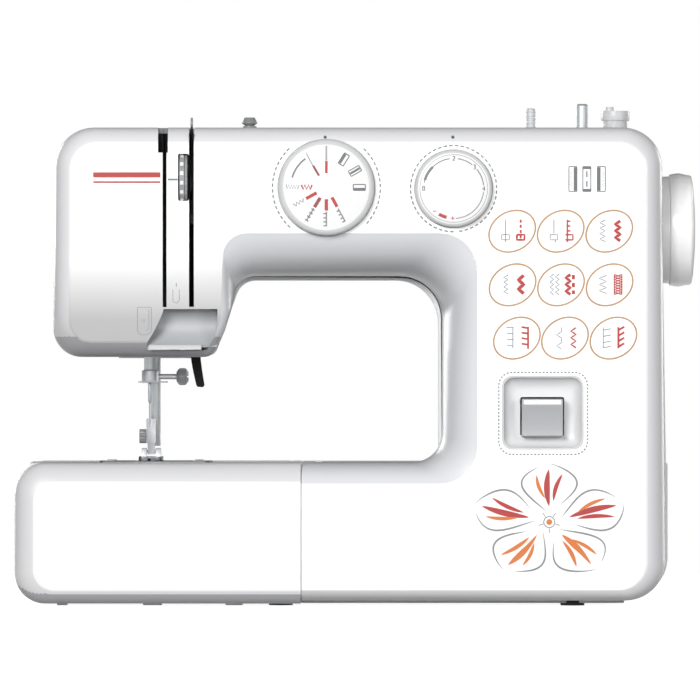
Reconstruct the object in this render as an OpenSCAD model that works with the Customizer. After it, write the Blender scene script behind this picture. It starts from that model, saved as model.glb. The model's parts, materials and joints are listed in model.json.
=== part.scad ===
/* [Overall] */
// Height of the arm's top above the floor
top_z = 278.1; // [274:0.1:282]
// Height of the bed above the floor
bed_z = 83.2; // [82:0.1:84]
// Height of the throat's roof above the floor
throat_top = 192; // [190:0.5:195]
// Left wall of the column, seen in the throat
throat_right = 50.3; // [48:0.1:52]
// Height of the head's underside
head_bottom = 144.7; // [143:0.1:146]
// Left end of the extension table
left_end = -198.5; // [-200:0.5:-197]
// Right wall of the column at the bottom
right_end = 180; // [178:0.5:181]
// Where the extension table meets the base
table_split = -32; // [-34:0.5:-31]

/* [Depth] */
// Plane of the flat front face
front_y = -68; // [-70:0.5:-66]
// Rear of the arm and the column
arm_rear = 45; // [44:0.5:48]
// Rear of the base
base_rear = 75; // [73:0.5:77]
// Seam of the covers, and the middle of the shafts and the needle
axis_y = -8; // [-9:0.5:-7]
// Wall of the plastic covers
wall = 2.5; // [2:0.1:3]

/* [Drive] */
// Height of the main shaft
main_z = 219.2; // [219:0.1:219.4]
// Height of the lower shaft
lower_z = 52; // [51:0.1:53]
// Radius of both steel shafts
shaft_r = 4; // [3.5:0.1:4.2]
// Running clearance of shafts and pins, on the radius
run_gap = 0.05; // [0.03:0.01:0.08]
// Radius of the handwheel
wheel_r = 33.35; // [32:0.05:33.5]
// Stroke of the needle bar
needle_stroke = 31; // [30:0.5:32]

/* [Needle] */
// Needle bar, across
needle_x = -121; // [-121.5:0.1:-120.5]
// Presser bar, across
presser_x = -117.7; // [-118:0.1:-117.4]
// Presser bar, behind the needle bar
presser_y = 3; // [2.5:0.1:3.5]
// Slot of the take-up lever, across
take_up_x = -95.6; // [-95.9:0.1:-95.3]
// Thread slot, across
thread_slot_x = -111.2; // [-111.4:0.1:-111]

/* [Controls] */
// Radius of the pattern dial
pattern_r = 27.85; // [26:0.05:28]
// Radius of the stitch length dial
length_r = 22.35; // [21:0.05:23]
// Radius of the thread tension thumbwheel
tension_r = 20; // [19:0.5:20.5]
// How far the dials stand out of the front face
dial_out = 7; // [5:0.5:7]

/* [Hidden] */

$fn = 48;
white = [0.97, 0.97, 0.96];
shell_grey = [0.8, 0.81, 0.82];
light_grey = [0.87, 0.88, 0.89];
steel = [0.72, 0.73, 0.75];
dark_steel = [0.33, 0.34, 0.36];
cast_metal = [0.62, 0.63, 0.64];
black = [0.07, 0.07, 0.08];

cut = 1;             // how far a cutting shape runs past a face
arc_steps = 6;       // facets of each rounded outline corner
edge_steps = 4;      // facets of the covers' rounded edges
edge_start = 24;     // angle at which the rounded edge leaves the face, so the face has a crisp rim

// ---------- plain shapes along the axes ----------
module box(x, y, z) {
    translate([x[0], y[0], z[0]]) cube([x[1] - x[0], y[1] - y[0], z[1] - z[0]]);
}
module x_rod(r, x, y, z) { translate([x[0], y, z]) rotate([0, 90, 0]) cylinder(r = r, h = x[1] - x[0]); }
module y_rod(r, x, y, z) { translate([x, y[1], z]) rotate([90, 0, 0]) cylinder(r = r, h = y[1] - y[0]); }
module z_rod(r, x, y, z) { translate([x, y, z[0]]) cylinder(r = r, h = z[1] - z[0]); }
// An outline drawn in X and Z, pushed along Y
module y_plate(y) { translate([0, y[1], 0]) rotate([90, 0, 0]) linear_extrude(y[1] - y[0]) children(); }
// An outline drawn in Y and Z, pushed along X
module x_plate(x) {
    translate([x[0], 0, 0]) rotate([90, 0, 90]) linear_extrude(x[1] - x[0]) children();
}
// A rectangle with round corners, from its low and high corners
module soft_rect(x, z, r) {
    translate([x[0] + r, z[0]]) square([x[1] - x[0] - 2 * r, z[1] - z[0]]);
    translate([x[0], z[0] + r]) square([x[1] - x[0], z[1] - z[0] - 2 * r]);
    for (cx = [x[0] + r, x[1] - r], cz = [z[0] + r, z[1] - r]) translate([cx, cz]) circle(r);
}

// ---------- outlines with round corners ----------
function unit(v) = v / norm(v);
function arc_point(from, to, centre, turn, k) =
    centre + ((from - centre) * sin((1 - k) * turn) + (to - centre) * sin(k * turn)) / sin(turn);
// The points of one corner [x, z, radius]; a radius of 0 is a plain point of the outline
function corner_points(before, corner, after) =
    let (c = [corner[0], corner[1]], r = corner[2])
    r == 0 ? [c] :
    let (u = unit([before[0], before[1]] - c), v = unit([after[0], after[1]] - c),
         half = acos(u * v) / 2, reach = r / tan(half), centre = c + unit(u + v) * r / sin(half))
    [for (k = [0:arc_steps]) arc_point(c + u * reach, c + v * reach, centre, 180 - 2 * half,
        k / arc_steps)];
function outline(corners) = let (n = len(corners)) [
    for (i = [0:n - 1]) each corner_points(corners[(i + n - 1) % n], corners[i], corners[(i + 1) % n])
];

// The head's lower front curves back towards the needle
slope_top = 203;
slope_depth = 13;
slope_right = -70;
function set_back(x, z) = x > slope_right || z > slope_top ? 0
    : slope_depth * pow((slope_top - z) / (slope_top - head_bottom), 1.8);

// One section of a cover's wall: the round edge from the face to the outline, then straight to the
// seam, and back at one wall's distance. side is 1 for the front cover and -1 for the rear one.
function wall_section(face, edge, face_y, seam_y, side, bulge) =
    let (inward = unit(face - edge), deep = norm(face - edge) * bulge,
         outer = [for (j = [0:edge_steps])
             let (a = edge_start + (90 - edge_start) * j / edge_steps,
                  s = (sin(a) - sin(edge_start)) / (1 - sin(edge_start)),
                  p = face + (edge - face) * s,
                  y = face_y + side * deep * (cos(edge_start) - cos(a)) / cos(edge_start))
             [p[0], side > 0 ? y + set_back(p[0], p[1]) * (seam_y - y) / (seam_y - face_y) : y, p[1]]])
    concat(outer, [[edge[0], seam_y, edge[1]]],
        [[edge[0] + inward[0] * wall, seam_y, edge[1] + inward[1] * wall]],
        [for (j = [edge_steps:-1:0]) outer[j] + [inward[0] * wall, side * wall, inward[1] * wall]]);

// The wall all round a cover, as one closed ring of sections
module cover_wall(face, edge, face_y, seam_y, side, bulge) {
    rings = [for (i = [0:len(face) - 1])
        wall_section(face[i], edge[i], face_y, seam_y, side, bulge)];
    n = len(rings);
    m = len(rings[0]);
    polyhedron([for (ring = rings) each ring], [for (i = [0:n - 1], j = [0:m - 1])
        let (a = i * m + j, b = i * m + (j + 1) % m, c = (i + 1) % n * m + (j + 1) % m,
             d = (i + 1) % n * m + j)
        side > 0 ? [a, d, c, b] : [a, b, c, d]]);
}

// ---------- covers ----------
seam_gap = 0.15;
cut_x = -60;         // the covers' base outlines run to here and are trimmed at the table
front_edge = [
    [right_end, 3.2, 23], [right_end - 2.4, top_z, 23], [-175, top_z, 23],
    [-175.6, slope_top, 0], [-175.9, 187, 0], [-176.1, 172, 0],
    [-176.3, head_bottom, 16.5], [-83.5, head_bottom, 8], [-77, 160, 0], [-73.2, 172, 0],
    [-68.5, throat_top, 12], [throat_right, throat_top, 25], [throat_right, bed_z, 17],
    [cut_x, bed_z, 0], [cut_x, 3.2, 0]
];
front_face = [
    [168.1, 9.6, 16], [168.1, top_z - 9.3, 16], [-165.7, top_z - 9.3, 16],
    [-165.7, slope_top, 0], [-165.7, 188, 0], [-165.7, 173, 0],
    [-165.7, 154, 12], [-86, 154, 5], [-80.5, 163, 0], [-78.6, 174, 0],
    [-77, throat_top + 24.6, 14], [throat_right + 20, throat_top + 24.6, 22],
    [throat_right + 20, bed_z - 12, 22], [cut_x + 8, bed_z - 12, 0], [cut_x + 8, 9.6, 0]
];
rear_edge = [
    [right_end + 2, 60, 0], [right_end - 1.4, top_z, 23], [-175, top_z, 23],
    [-176.3, head_bottom, 16.5], [-83.5, head_bottom, 8],
    [-67.5, throat_top - 2.3, 12], [throat_right - 2, throat_top - 2.3, 25],
    [throat_right - 2, 60, 0]
];
rear_face = [
    [right_end - 10, 68, 0], [right_end - 13.4, top_z - 12, 14], [-163, top_z - 12, 14],
    [-164.3, head_bottom + 12, 10], [-93, head_bottom + 12, 6],
    [-79, throat_top + 10, 12], [throat_right + 10, throat_top + 10, 20],
    [throat_right + 10, 68, 0]
];

pattern_at = [-17.3, 243];
length_at = [56.5, 242.4];
tension_at = [-49, 249];   // depth and height of the thumbwheel's axis
lever_x = [84.7, 131.8];
lever_z = [91.1, 133.8];
wheel_recess_x = 176.8;
spool_at = [102.9, 20];
spindle_at = [132.7, 0];
stopper_at = [152.1, 0];

// A flat plate of an outline with the head's lower front left out
module face_plate() {
    y_plate([front_y, front_y + wall]) difference() {
        polygon(outline(front_face));
        translate([-180, head_bottom - 5]) square([180 + slope_right, slope_top - head_bottom + 5]);
    }
    intersection() {
        y_plate([front_y, front_y + slope_depth + wall]) polygon(outline(front_face));
        x_plate([-170, slope_right]) polygon(concat(
            [for (z = [slope_top:-4:head_bottom]) [front_y + set_back(-100, z), z]],
            [for (z = [head_bottom + 2.3:4:slope_top + 0.1]) [front_y + set_back(-100, z) + wall, z]],
            [[front_y + wall, slope_top]]));
    }
}

// What is cut out of both covers: the head's open underside, the handwheel recess, the top holes
module cover_cuts() {
    box([-150, -84.5], [-40, 34], [head_bottom - cut, head_bottom + 12]);
    x_rod(wheel_r + 1.2, [wheel_recess_x, right_end + 20], axis_y, main_z);
    x_rod(shaft_r + 2, [150, right_end], axis_y, main_z);
    z_rod(3.4, spool_at[0], spool_at[1], [top_z - 10, top_z + cut]);
    box([spindle_at[0] - 5, spindle_at[0] + 9], [-4.5, 4.5], [top_z - 10, top_z + cut]);
    z_rod(3.2, stopper_at[0], stopper_at[1], [top_z - 10, top_z + cut]);
    z_rod(2.2, -62.3, -24, [top_z - 10, top_z + cut]);
}

// Where the free arm runs into the base
module arm_root_room() {
    box([table_split - cut, table_split + 8.1], [-42.2, 26.3], [0, bed_z + cut]);
}

module front_cover() {
    color(white) difference() {
        union() {
            cover_wall(outline(front_face), outline(front_edge), front_y, axis_y - seam_gap, 1, 1.15);
            face_plate();
        }
        cover_cuts();
        box([cut_x - cut, table_split + seam_gap], [front_y - cut, 0], [0, bed_z + cut]);
        arm_root_room();
        for (at = [pattern_at, length_at])
            y_rod(shaft_r + 0.4, at[0], [front_y - cut, front_y + 5], at[1]);
        box([take_up_x - 1.4, take_up_x + 1.4], [front_y - cut, -36], [173.7, top_z + cut]);
        box([thread_slot_x - 1.15, thread_slot_x + 1.15], [front_y - cut, -50], [173.7, 266]);
        box([-115, -109.3], [front_y - cut, -50], [263.3, top_z + cut]);
        box([-103.4, -97], [front_y - cut, front_y + 5], [235.3, 262.7]);
        y_plate([front_y - cut, front_y + 5]) soft_rect(lever_x, lever_z, 6);
        y_plate([front_y - cut, -40]) scoop_outline();
    }
}

base_face = [[right_end - 10, 11, 14], [right_end - 10, bed_z - 12, 4],
    [table_split + 8, bed_z - 12, 3], [table_split + 8, 11, 3]];
base_edge = [[right_end + 2.6, 3.2, 24], [right_end + 2.6, bed_z, 2],
    [table_split + seam_gap, bed_z, 1], [table_split + seam_gap, 3.2, 1]];

inlet_y = [10, 32];
inlet_z = [40, 64];
switch_at = [173.2, 52];     // across and height of the rocker's pin
switch_y = [41, 55];
handle_at = [50, 256];       // depth and height of the carrying handle's hinge
handle_x = 58;
screw_places = [[-150, 240], [-150, 165], [-40, 250], [90, 250], [150, 120], [75, 120]];

module rear_cover() {
    color(shell_grey) difference() {
        union() {
            cover_wall(outline(rear_face), outline(rear_edge), arm_rear, axis_y, -1, 1.1);
            y_plate([arm_rear - wall, arm_rear]) polygon(outline(rear_face));
            for (side = [-1, 1])
                box(side > 0 ? [handle_x + 1, handle_x + 6] : [-handle_x - 6, -handle_x - 1],
                    [arm_rear - 1, handle_at[0] + 4], [handle_at[1] - 5, handle_at[1] + 5]);
        }
        cover_cuts();
        box([throat_right - 10, right_end + 10], [axis_y - cut, arm_rear + cut], [50, bed_z]);
        x_rod(2.5 + run_gap, [-handle_x - 5, handle_x + 5], handle_at[0], handle_at[1]);
        for (at = screw_places) y_rod(1.6, at[0], [arm_rear - 6, arm_rear + cut], at[1]);
    }
}

module base_cover() {
    color(shell_grey) difference() {
        union() {
            cover_wall(outline(base_face), outline(base_edge), base_rear, axis_y, -1, 1.1);
            y_plate([base_rear - wall, base_rear]) polygon(outline(base_face));
        }
        box([throat_right + 1, right_end - 4], [axis_y - cut, arm_rear - wall], [bed_z - 10, bed_z + cut]);
        box([right_end - 5, right_end + 5], inlet_y, inlet_z);
        box([right_end - 5, right_end + 5], switch_y, [switch_at[1] - 9.6, switch_at[1] + 9.6]);
        arm_root_room();
        for (x = [70:6:148]) box([x, x + 2.2], [base_rear - 5, base_rear + cut], [26, 58]);
    }
}

foot_places = [[-44, -34], [-44, 12], [126, -42], [148, 52]];
foot_r = 7;
module base_tray() {
    color(shell_grey) difference() {
        union() {
            box([table_split + 0.4, right_end - 24], [-48, 62], [1.5, 3.2]);
            box([-60, table_split + 0.5], [-40, 24], [1.5, 3.2]);
        }
        for (x = [60:12:96], y = [-20:10:20]) translate([x, y, 0]) cylinder(r = 2.5, h = 5);
        for (at = foot_places) z_rod(foot_r, at[0], at[1], [0, 4]);
    }
}

free_arm_x = [-190, table_split + 8];
free_arm_y = [-42, 26];
door_y = [-34, 18];
door_z = [14, 66];
plate_x = [-150.4, -84.5];
plate_y = [-38, 22];
plate_z = [81.6, 83.8];

module free_arm_cover() {
    color(white) difference() {
        x_plate(free_arm_x) soft_rect(free_arm_y, [3.2, bed_z], 6);
        x_plate([free_arm_x[0] + wall, free_arm_x[1] + cut])
            soft_rect([free_arm_y[0] + wall, free_arm_y[1] - wall], [3.2 + wall, bed_z - wall], 4);
        box(plate_x, plate_y, [plate_z[0], bed_z + cut]);
        box([plate_x[0] + 4, plate_x[1] - 4], [plate_y[0] + 4, plate_y[1] - 4], [70, bed_z]);
        box([free_arm_x[0] - cut, free_arm_x[0] + 5], door_y, door_z);
    }
}

module hook_cover() {
    color(white) {
        box([free_arm_x[0], free_arm_x[0] + wall],
            [door_y[0] + 0.3, door_y[1] - 0.3], [door_z[0] + 0.3, door_z[1] - 0.3]);
        box([free_arm_x[0] + wall, free_arm_x[0] + wall + 4], [-14, -2], [door_z[1] - 3, door_z[1] - 0.5]);
    }
}

slot_y = [-26, 11];          // length of the feed slots
feed_rows = [-127.6, -114.4];

module needle_plate() {
    color(steel) difference() {
        y_plate_flat(plate_x, plate_y, plate_z, 4);
        z_rod(1, needle_x - 3, axis_y, [80, 85]);
        z_rod(1, needle_x + 3, axis_y, [80, 85]);
        box([needle_x - 3, needle_x + 3], [axis_y - 1, axis_y + 1], [80, 85]);
        for (x = feed_rows) box([x - 2, x + 2], slot_y, [80, 85]);
        for (x = plate_screw_x) z_rod(1.6, x, -12, [80, 85]);
    }
}
// A thin plate lying flat with round corners
module y_plate_flat(x, y, z, r) {
    translate([0, 0, z[0]]) linear_extrude(z[1] - z[0]) soft_rect(x, y, r);
}

plate_screw_x = [-143, -92];
module plate_screws() {
    for (x = plate_screw_x) translate([x, -12, 0]) difference() {
        union() {
            translate([0, 0, 76]) cylinder(r = 1.5, h = 8);
            translate([0, 0, plate_z[1]]) cylinder(r1 = 3.4, r2 = 2.8, h = 0.9);
        }
        translate([-4, -0.4, plate_z[1] + 0.4]) cube([8, 0.8, 2]);
    }
}

module rubber_feet() {
    color(black) for (at = foot_places) z_rod(foot_r, at[0], at[1], [0, 3.2]);
}

// ---------- frame ----------
bulkheads = [[-91, -85], [40, 46], [140, 146]];
lower_bearings = [[-60, -54], [60, 66]];
frame_y = [28, 34];
take_up_pivot = [10, 236];
cam_at = [-17.3, 243.4];
lifter_at = [3.5, 150];
presser_lugs = [[150, 158], [242, 250]];
bush_r = 7;
swing_at = [-131, 264];      // pivot of the swinging needle bar frame
reverse_pivot = [-24, 109];

module main_frame() {
    color(cast_metal) difference() {
        union() {
            y_plate(frame_y) {
                translate([-140, 206]) square([308, 62]);
                translate([100, 12]) square([68, 200]);
                translate([-28, 12]) square([196, 28]);
                translate([-140, 144]) square([46, 70]);
            }
            for (x = bulkheads) box(x, [-30, frame_y[0]], [206, 246]);
            box([-110, 30], [-30, 12], [8, 16]);
            box([table_split + 8.5, 30], [12, frame_y[0]], [12, 16]);
            box(lower_bearings[0], [axis_y - 9, axis_y + 9], [16, lower_z + 9]);
            box(lower_bearings[1], [axis_y - 9, frame_y[0]], [12, lower_z + 9]);
            for (z = presser_lugs) box([-123, -112], [-2.2, frame_y[0]], z);
            box([-103, -99], [-3, frame_y[0]], [144, 156]);
            x_rod(3, [-98.5, -90], take_up_pivot[0], take_up_pivot[1]);
            y_rod(3, cam_at[0], [-18, frame_y[0]], cam_at[1]);
            y_rod(2.5, swing_at[0], [-14, frame_y[0]], swing_at[1]);
            box([96, 100], [-30, frame_y[0]], [102, 116]);
            x_rod(2.5, [99, 117], reverse_pivot[0], reverse_pivot[1]);
            box([96, 100], [22, frame_y[0]], [100, 116]);
            box([spindle_at[0] - 18, spindle_at[0] + 20], [10, frame_y[0]], [258, carriage_z[0] - 0.3]);
        }
        for (x = bulkheads) x_rod(bush_r, [x[0] - cut, x[1] + cut], axis_y, main_z);
        for (x = lower_bearings) x_rod(bush_r, [x[0] - cut, x[1] + cut], axis_y, lower_z);
        for (z = presser_lugs) z_rod(4.2, presser_x, presser_y, [z[0] - cut, z[1] + cut]);
        x_rod(3 + run_gap, [-104, -98], lifter_at[0], lifter_at[1]);
        for (x = [118:20:150], z = [70:30:160]) y_rod(7, x, [frame_y[0] - cut, frame_y[1] + cut], z);
    }
}

module shaft_bushes() {
    color([0.72, 0.56, 0.3]) {
        for (x = bulkheads) tube(bush_r, shaft_r + run_gap, x, axis_y, main_z);
        for (x = lower_bearings) tube(bush_r, shaft_r + run_gap, x, axis_y, lower_z);
        for (z = presser_lugs) difference() {
            z_rod(4.2, presser_x, presser_y, z);
            z_rod(2.9 + run_gap, presser_x, presser_y, [z[0] - cut, z[1] + cut]);
        }
    }
}
module tube(outer, inner, x, y, z) {
    difference() {
        x_rod(outer, x, y, z);
        x_rod(inner, [x[0] - cut, x[1] + cut], y, z);
    }
}

// ---------- main shaft group ----------
crank_x = [-103.5, -99.5];
crank_throw = needle_stroke / 2;
link_len = 30;
worm_x = [-31, -4];
upper_pulley_x = [76, 84];
pulley_r = 14;
belt_x = [155, 163];
belt_wheel_r = 26;

module main_shaft() {
    color(steel) {
        x_rod(shaft_r, [crank_x[1], 190], axis_y, main_z);
        tube(belt_wheel_r, shaft_r, belt_x, axis_y, main_z);
    }
}

module needle_crank() {
    color(cast_metal) {
        x_rod(19, crank_x, axis_y, main_z);
        x_rod(2.5, [-109.3, crank_x[0]], axis_y, main_z + crank_throw);
    }
}

module worm_gear() {
    pitch = 3;
    turns = floor((worm_x[1] - worm_x[0]) / pitch);
    color(steel) difference() {
        tube(7, shaft_r, worm_x, axis_y, main_z);
        for (k = [0:turns - 1]) translate([worm_x[0] + pitch * (k + 0.5), axis_y, main_z])
            rotate([0, 90, 0]) rotate_extrude() polygon([[5, -0.5], [8, -1.4], [8, 1.4], [5, 0.5]]);
    }
}

// A timing pulley with teeth and two flanges, on an X shaft
module timing_pulley(z) {
    teeth = 24;
    difference() {
        union() {
            x_plate([upper_pulley_x[0] + 1, upper_pulley_x[1] - 1]) translate([axis_y, z])
                polygon([for (k = [0:4 * teeth - 1])
                    (pulley_r - (k % 4 < 2 ? 0 : 1.2)) * [cos(90 * k / teeth), sin(90 * k / teeth)]]);
            for (x = [upper_pulley_x[0], upper_pulley_x[1] - 1]) x_rod(pulley_r + 2, [x, x + 1], axis_y, z);
            x_rod(8, [upper_pulley_x[0] - 4, upper_pulley_x[1] - 1], axis_y, z);
        }
        x_rod(shaft_r, [upper_pulley_x[0] - 9, upper_pulley_x[1] + 9], axis_y, z);
    }
}
module upper_pulley() { color(light_grey) timing_pulley(main_z); }
module lower_pulley() { color(light_grey) timing_pulley(lower_z); }

// A flat belt round two wheels, [radius, depth, height] each
module belt(x, a, b, gap, thick) {
    module loop(extra) {
        hull() for (w = [a, b]) translate([w[1], w[2]]) circle(w[0] + gap + extra);
    }
    x_plate(x) difference() {
        loop(thick);
        loop(0);
    }
}
module timing_belt() {
    color(black) belt([upper_pulley_x[0] + 1.5, upper_pulley_x[1] - 1.5],
        [pulley_r, axis_y, main_z], [pulley_r, axis_y, lower_z], 0.4, 1.4);
}

module handwheel() {
    hub_r = 31.5;
    color(light_grey) difference() {
        union() {
            translate([177.3, axis_y, main_z]) rotate([0, 90, 0]) rotate_extrude($fn = 96) polygon([
                [shaft_r, 0], [hub_r, 0], [hub_r, 5.8], [wheel_r - 0.6, 6.4], [wheel_r, 8], [wheel_r, 15],
                [wheel_r - 1, 18.2], [wheel_r - 4, 20.2], [20, 21.2], [0, 21.2], [0, 12.9], [shaft_r, 12.7]]);
        }
        for (k = [0:35]) translate([180, axis_y, main_z]) rotate([10 * k, 0, 0])
            translate([5, wheel_r + 0.4, 0]) rotate([0, 90, 0]) cylinder(r = 1.1, h = 9, $fn = 16);
    }
}

// ---------- needle ----------
collar_z = main_z + crank_throw - link_len;

module needle_bar_link() {
    x = [-108.5, -105.5];
    top = main_z + crank_throw;
    color(steel) difference() {
        union() {
            for (z = [top, collar_z]) x_rod(6, x, axis_y, z);
            box(x, [axis_y - 4, axis_y + 4], [collar_z, top]);
        }
        x_rod(2.5 + run_gap, [x[0] - cut, x[1] + cut], axis_y, top);
        x_rod(2.4, [x[0] - cut, x[1] + cut], axis_y, collar_z);
    }
}

module needle_bar_frame() {
    color(cast_metal) difference() {
        union() {
            box([-134, -128], [axis_y - 5, axis_y + 5], [152, 262]);
            y_rod(6, swing_at[0], [axis_y - 5, axis_y + 5], swing_at[1]);
            for (z = [[152, 160], [215, 223]]) {
                box([-130, needle_x], [axis_y - 5, axis_y + 5], z);
                z_rod(5, needle_x, axis_y, z);
            }
        }
        y_rod(2.5 + run_gap, swing_at[0], [axis_y - 9, axis_y + 9], swing_at[1]);
        for (z = [[150, 162], [213, 225]]) z_rod(3.3 + run_gap, needle_x, axis_y, z);
    }
}

clamp_z = [129.5, 136.9];
clamp_screw_z = 133.2;
module needle_bar() {
    color(steel) {
        z_rod(3.3, needle_x, axis_y, [clamp_z[1], 258]);
        box([-126.5, -116.5], [axis_y - 5, axis_y + 4.5], [collar_z - 4.5, collar_z + 4.5]);
        x_rod(2, [-117, -110], axis_y, collar_z);
    }
}

module needle_clamp() {
    color(steel) difference() {
        union() {
            z_rod(4.8, needle_x, axis_y, clamp_z);
            box([needle_x, -115.6], [axis_y - 2.6, axis_y + 2.6], clamp_z);
            y_rod(0.5, needle_x, [axis_y - 7, axis_y], clamp_z[0] + 0.6);
            x_rod(0.5, [-127.6, -110.2], axis_y - 7, clamp_z[0] + 0.6);
        }
        z_rod(1.03, needle_x, axis_y, [clamp_z[0] - cut, clamp_z[1] - 1]);
        x_rod(1.6 + run_gap, [-119.5, -115], axis_y, clamp_screw_z);
    }
}

module needle() {
    color(steel) translate([needle_x, axis_y, 0]) {
        translate([0, 0, 119]) cylinder(r = 1, h = 16.5);
        translate([0, 0, 117.5]) cylinder(r1 = 0.45, r2 = 1, h = 1.5);
        translate([0, 0, 106]) cylinder(r = 0.45, h = 11.5);
        translate([0, 0, 103.5]) cylinder(r1 = 0.1, r2 = 0.45, h = 2.5);
    }
}

module clamp_screw() {
    color(steel) {
        x_rod(1.6, [-119, -105.3], axis_y, clamp_screw_z);
        knurled_knob(5, [-105.3, -98.1], axis_y, clamp_screw_z, 20);
    }
}
module knurled_knob(r, x, y, z, ribs) {
    x_plate(x) translate([y, z]) polygon([for (k = [0:2 * ribs - 1])
        (r - (k % 2) * 0.45) * [cos(180 * k / ribs), sin(180 * k / ribs)]]);
}

module take_up_lever() {
    blade = [take_up_x - 0.8, take_up_x + 0.8];
    hub = take_up_pivot;
    color(steel) difference() {
        union() {
            x_rod(6.5, [take_up_x - 2, take_up_x + 2.5], hub[0], hub[1]);
            x_plate(blade) polygon([hub + [2, 5.5], hub + [-4, -4.5], [-44, 266], [-55, 274.5], [-60, 281],
                [-57.5, 283.9], [-53, 283.4], [-52, 280.6], [-47, 276]]);
        }
        x_rod(3 + run_gap, [take_up_x - 9, take_up_x + 9], hub[0], hub[1]);
        x_rod(1.1, [take_up_x - 9, take_up_x + 9], -56.6, 281);
    }
}

// ---------- presser foot ----------
module presser_bar() {
    tab_z = 159.5;
    color(steel) {
        z_rod(2.9, presser_x, presser_y, [92.5, 256]);
        z_rod(5, presser_x, presser_y, [spring_z[0] - 5.4, spring_z[0] - 0.4]);
        difference() {
            union() {
                z_rod(5, presser_x, presser_y, [tab_z, tab_z + 6.5]);
                box([presser_x, -104], [1.5, 6], [tab_z, tab_z + 3.5]);
            }
            z_rod(2.9, presser_x, presser_y, [tab_z - cut, tab_z + 9]);
        }
    }
}

foot_pin = [2, 89.3];
module foot_holder() {
    color(dark_steel) difference() {
        union() {
            box([-123.1, -117.6], [-1.4, 8], [94, 108.5]);
            box([-122.4, -118.2], [-1.2, 5.2], [87.6, 94.5]);
        }
        z_rod(2.9, presser_x, presser_y, [92.5, 110]);
        x_rod(1 + run_gap, [-125, -115], foot_pin[0], foot_pin[1]);
        x_rod(1.5 + run_gap, [-124, -121], presser_y, 98.2);
    }
}

module presser_foot() {
    sole_z = [plate_z[1] + 0.15, 86.4];
    color(steel) difference() {
        union() {
            y_plate_flat([-127.3, -113.3], [-24, 9], sole_z, 2.5);
            for (x = [[-126, -122.9], [-117.7, -114.5]]) x_plate(x) {
                translate([-2, sole_z[0]]) square([8, foot_pin[1] - sole_z[0]]);
                translate(foot_pin) circle(2);
            }
            x_rod(1, [-123.5, -117], foot_pin[0], foot_pin[1]);
        }
        box([needle_x - 4, needle_x + 4], [axis_y - 2, axis_y + 2], [80, 90]);
        box([needle_x - 1, needle_x + 1], [-26, axis_y], [80, 90]);
    }
}

module foot_thumbscrew() {
    color(steel) {
        x_rod(1.5, [-124, -121.2], presser_y, 98.2);
        knurled_knob(4.2, [-127.3, -123.3], presser_y, 98.2, 18);
    }
}

// A round spring wire swept along its turns; the last section closes it
spring_z = [192, 241.6];
spring_r = 4.3;
spring_wire = 0.6;
spring_turns = 9;
module presser_spring() {
    steps = 12;
    sides = 6;
    count = spring_turns * steps;
    rise = spring_z[1] - spring_z[0] - 2 * spring_wire;
    color(steel) translate([presser_x, presser_y, spring_z[0] + spring_wire]) polyhedron(
        [for (i = [0:count], k = [0:sides - 1]) let (a = 360 * i / steps, b = 360 * k / sides,
            r = spring_r + spring_wire * cos(b))
            [r * cos(a), r * sin(a), rise * i / count + spring_wire * sin(b)]],
        concat([[for (k = [0:sides - 1]) k]], [[for (k = [sides - 1:-1:0]) count * sides + k]],
            [for (i = [0:count - 1], k = [0:sides - 1]) let (n = (k + 1) % sides)
                [i * sides + k, (i + 1) * sides + k, (i + 1) * sides + n, i * sides + n]]));
}

module lifter_lever() {
    color(black) {
        x_rod(3, [-109, -98.5], lifter_at[0], lifter_at[1]);
        x_rod(4.8, [-98.5, -92.5], lifter_at[0], lifter_at[1]);
        y_plate([lifter_at[0] - 3, lifter_at[0] + 3])
            polygon([[-98.3, 150], [-92.6, 150], [-92.4, 145], [-88.9, 128], [-90, 126.8], [-93.4, 127.2],
                [-94.4, 130]]);
        x_plate([-109, -104.5]) translate(lifter_at) rotate(-58) {
            translate([-2.5, 0]) square([5, 12.3]);
            translate([0, 12.3]) circle(2);
        }
    }
}

// ---------- thread path ----------
module tension_bracket() {
    color(dark_steel) {
        box([-118.5, -116], [front_y + wall, -42], [tension_at[1] - 6, tension_at[1] + 6]);
        x_rod(2, [-116, -97.6], tension_at[0], tension_at[1]);
    }
}

module tension_discs() {
    color(steel) for (x = [thread_slot_x - 1.6, thread_slot_x + 0.7])
        tube(10, 2 + run_gap, [x, x + 0.9], tension_at[0], tension_at[1]);
}

module tension_dial() {
    ribs = 40;
    x = [-102.8, -97.8];
    color(light_grey) difference() {
        x_plate(x) translate(tension_at) polygon([for (k = [0:2 * ribs - 1])
            (tension_r - (k % 2) * 0.5) * [cos(180 * k / ribs), sin(180 * k / ribs)]]);
        x_rod(2 + run_gap, [x[0] - cut, x[1] + cut], tension_at[0], tension_at[1]);
    }
}

module thread_guide() {
    color(dark_steel) translate([-62.3, -24, 0]) {
        translate([0, 0, top_z - 6]) cylinder(r = 2.2, h = 8);
        translate([0, 0, top_z]) cylinder(r = 4.2, h = 1.6);
        translate([0, 0, top_z + 1.6]) cylinder(r1 = 2.4, r2 = 4.7, h = 1.7);
        translate([0, 0, top_z + 3.3]) cylinder(r1 = 4.7, r2 = 3, h = 3.3);
    }
}

// ---------- dials and lever ----------
module dial(at, r) {
    face = front_y - dial_out;
    color(light_grey) {
        translate([at[0], front_y - 0.4, at[1]]) rotate([90, 0, 0]) rotate_extrude($fn = 96) polygon([
            [0, 0], [r - 1.2, 0], [r, 1], [r, dial_out - 2.2], [r - 1.6, dial_out - 0.6],
            [r - 3, dial_out - 0.4], [0, dial_out - 0.4]]);
        y_rod(shaft_r, at[0], [front_y - 0.5, -44], at[1]);
    }
}
module pattern_dial() { dial(pattern_at, pattern_r); }
module length_dial() { dial(length_at, length_r); }

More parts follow.
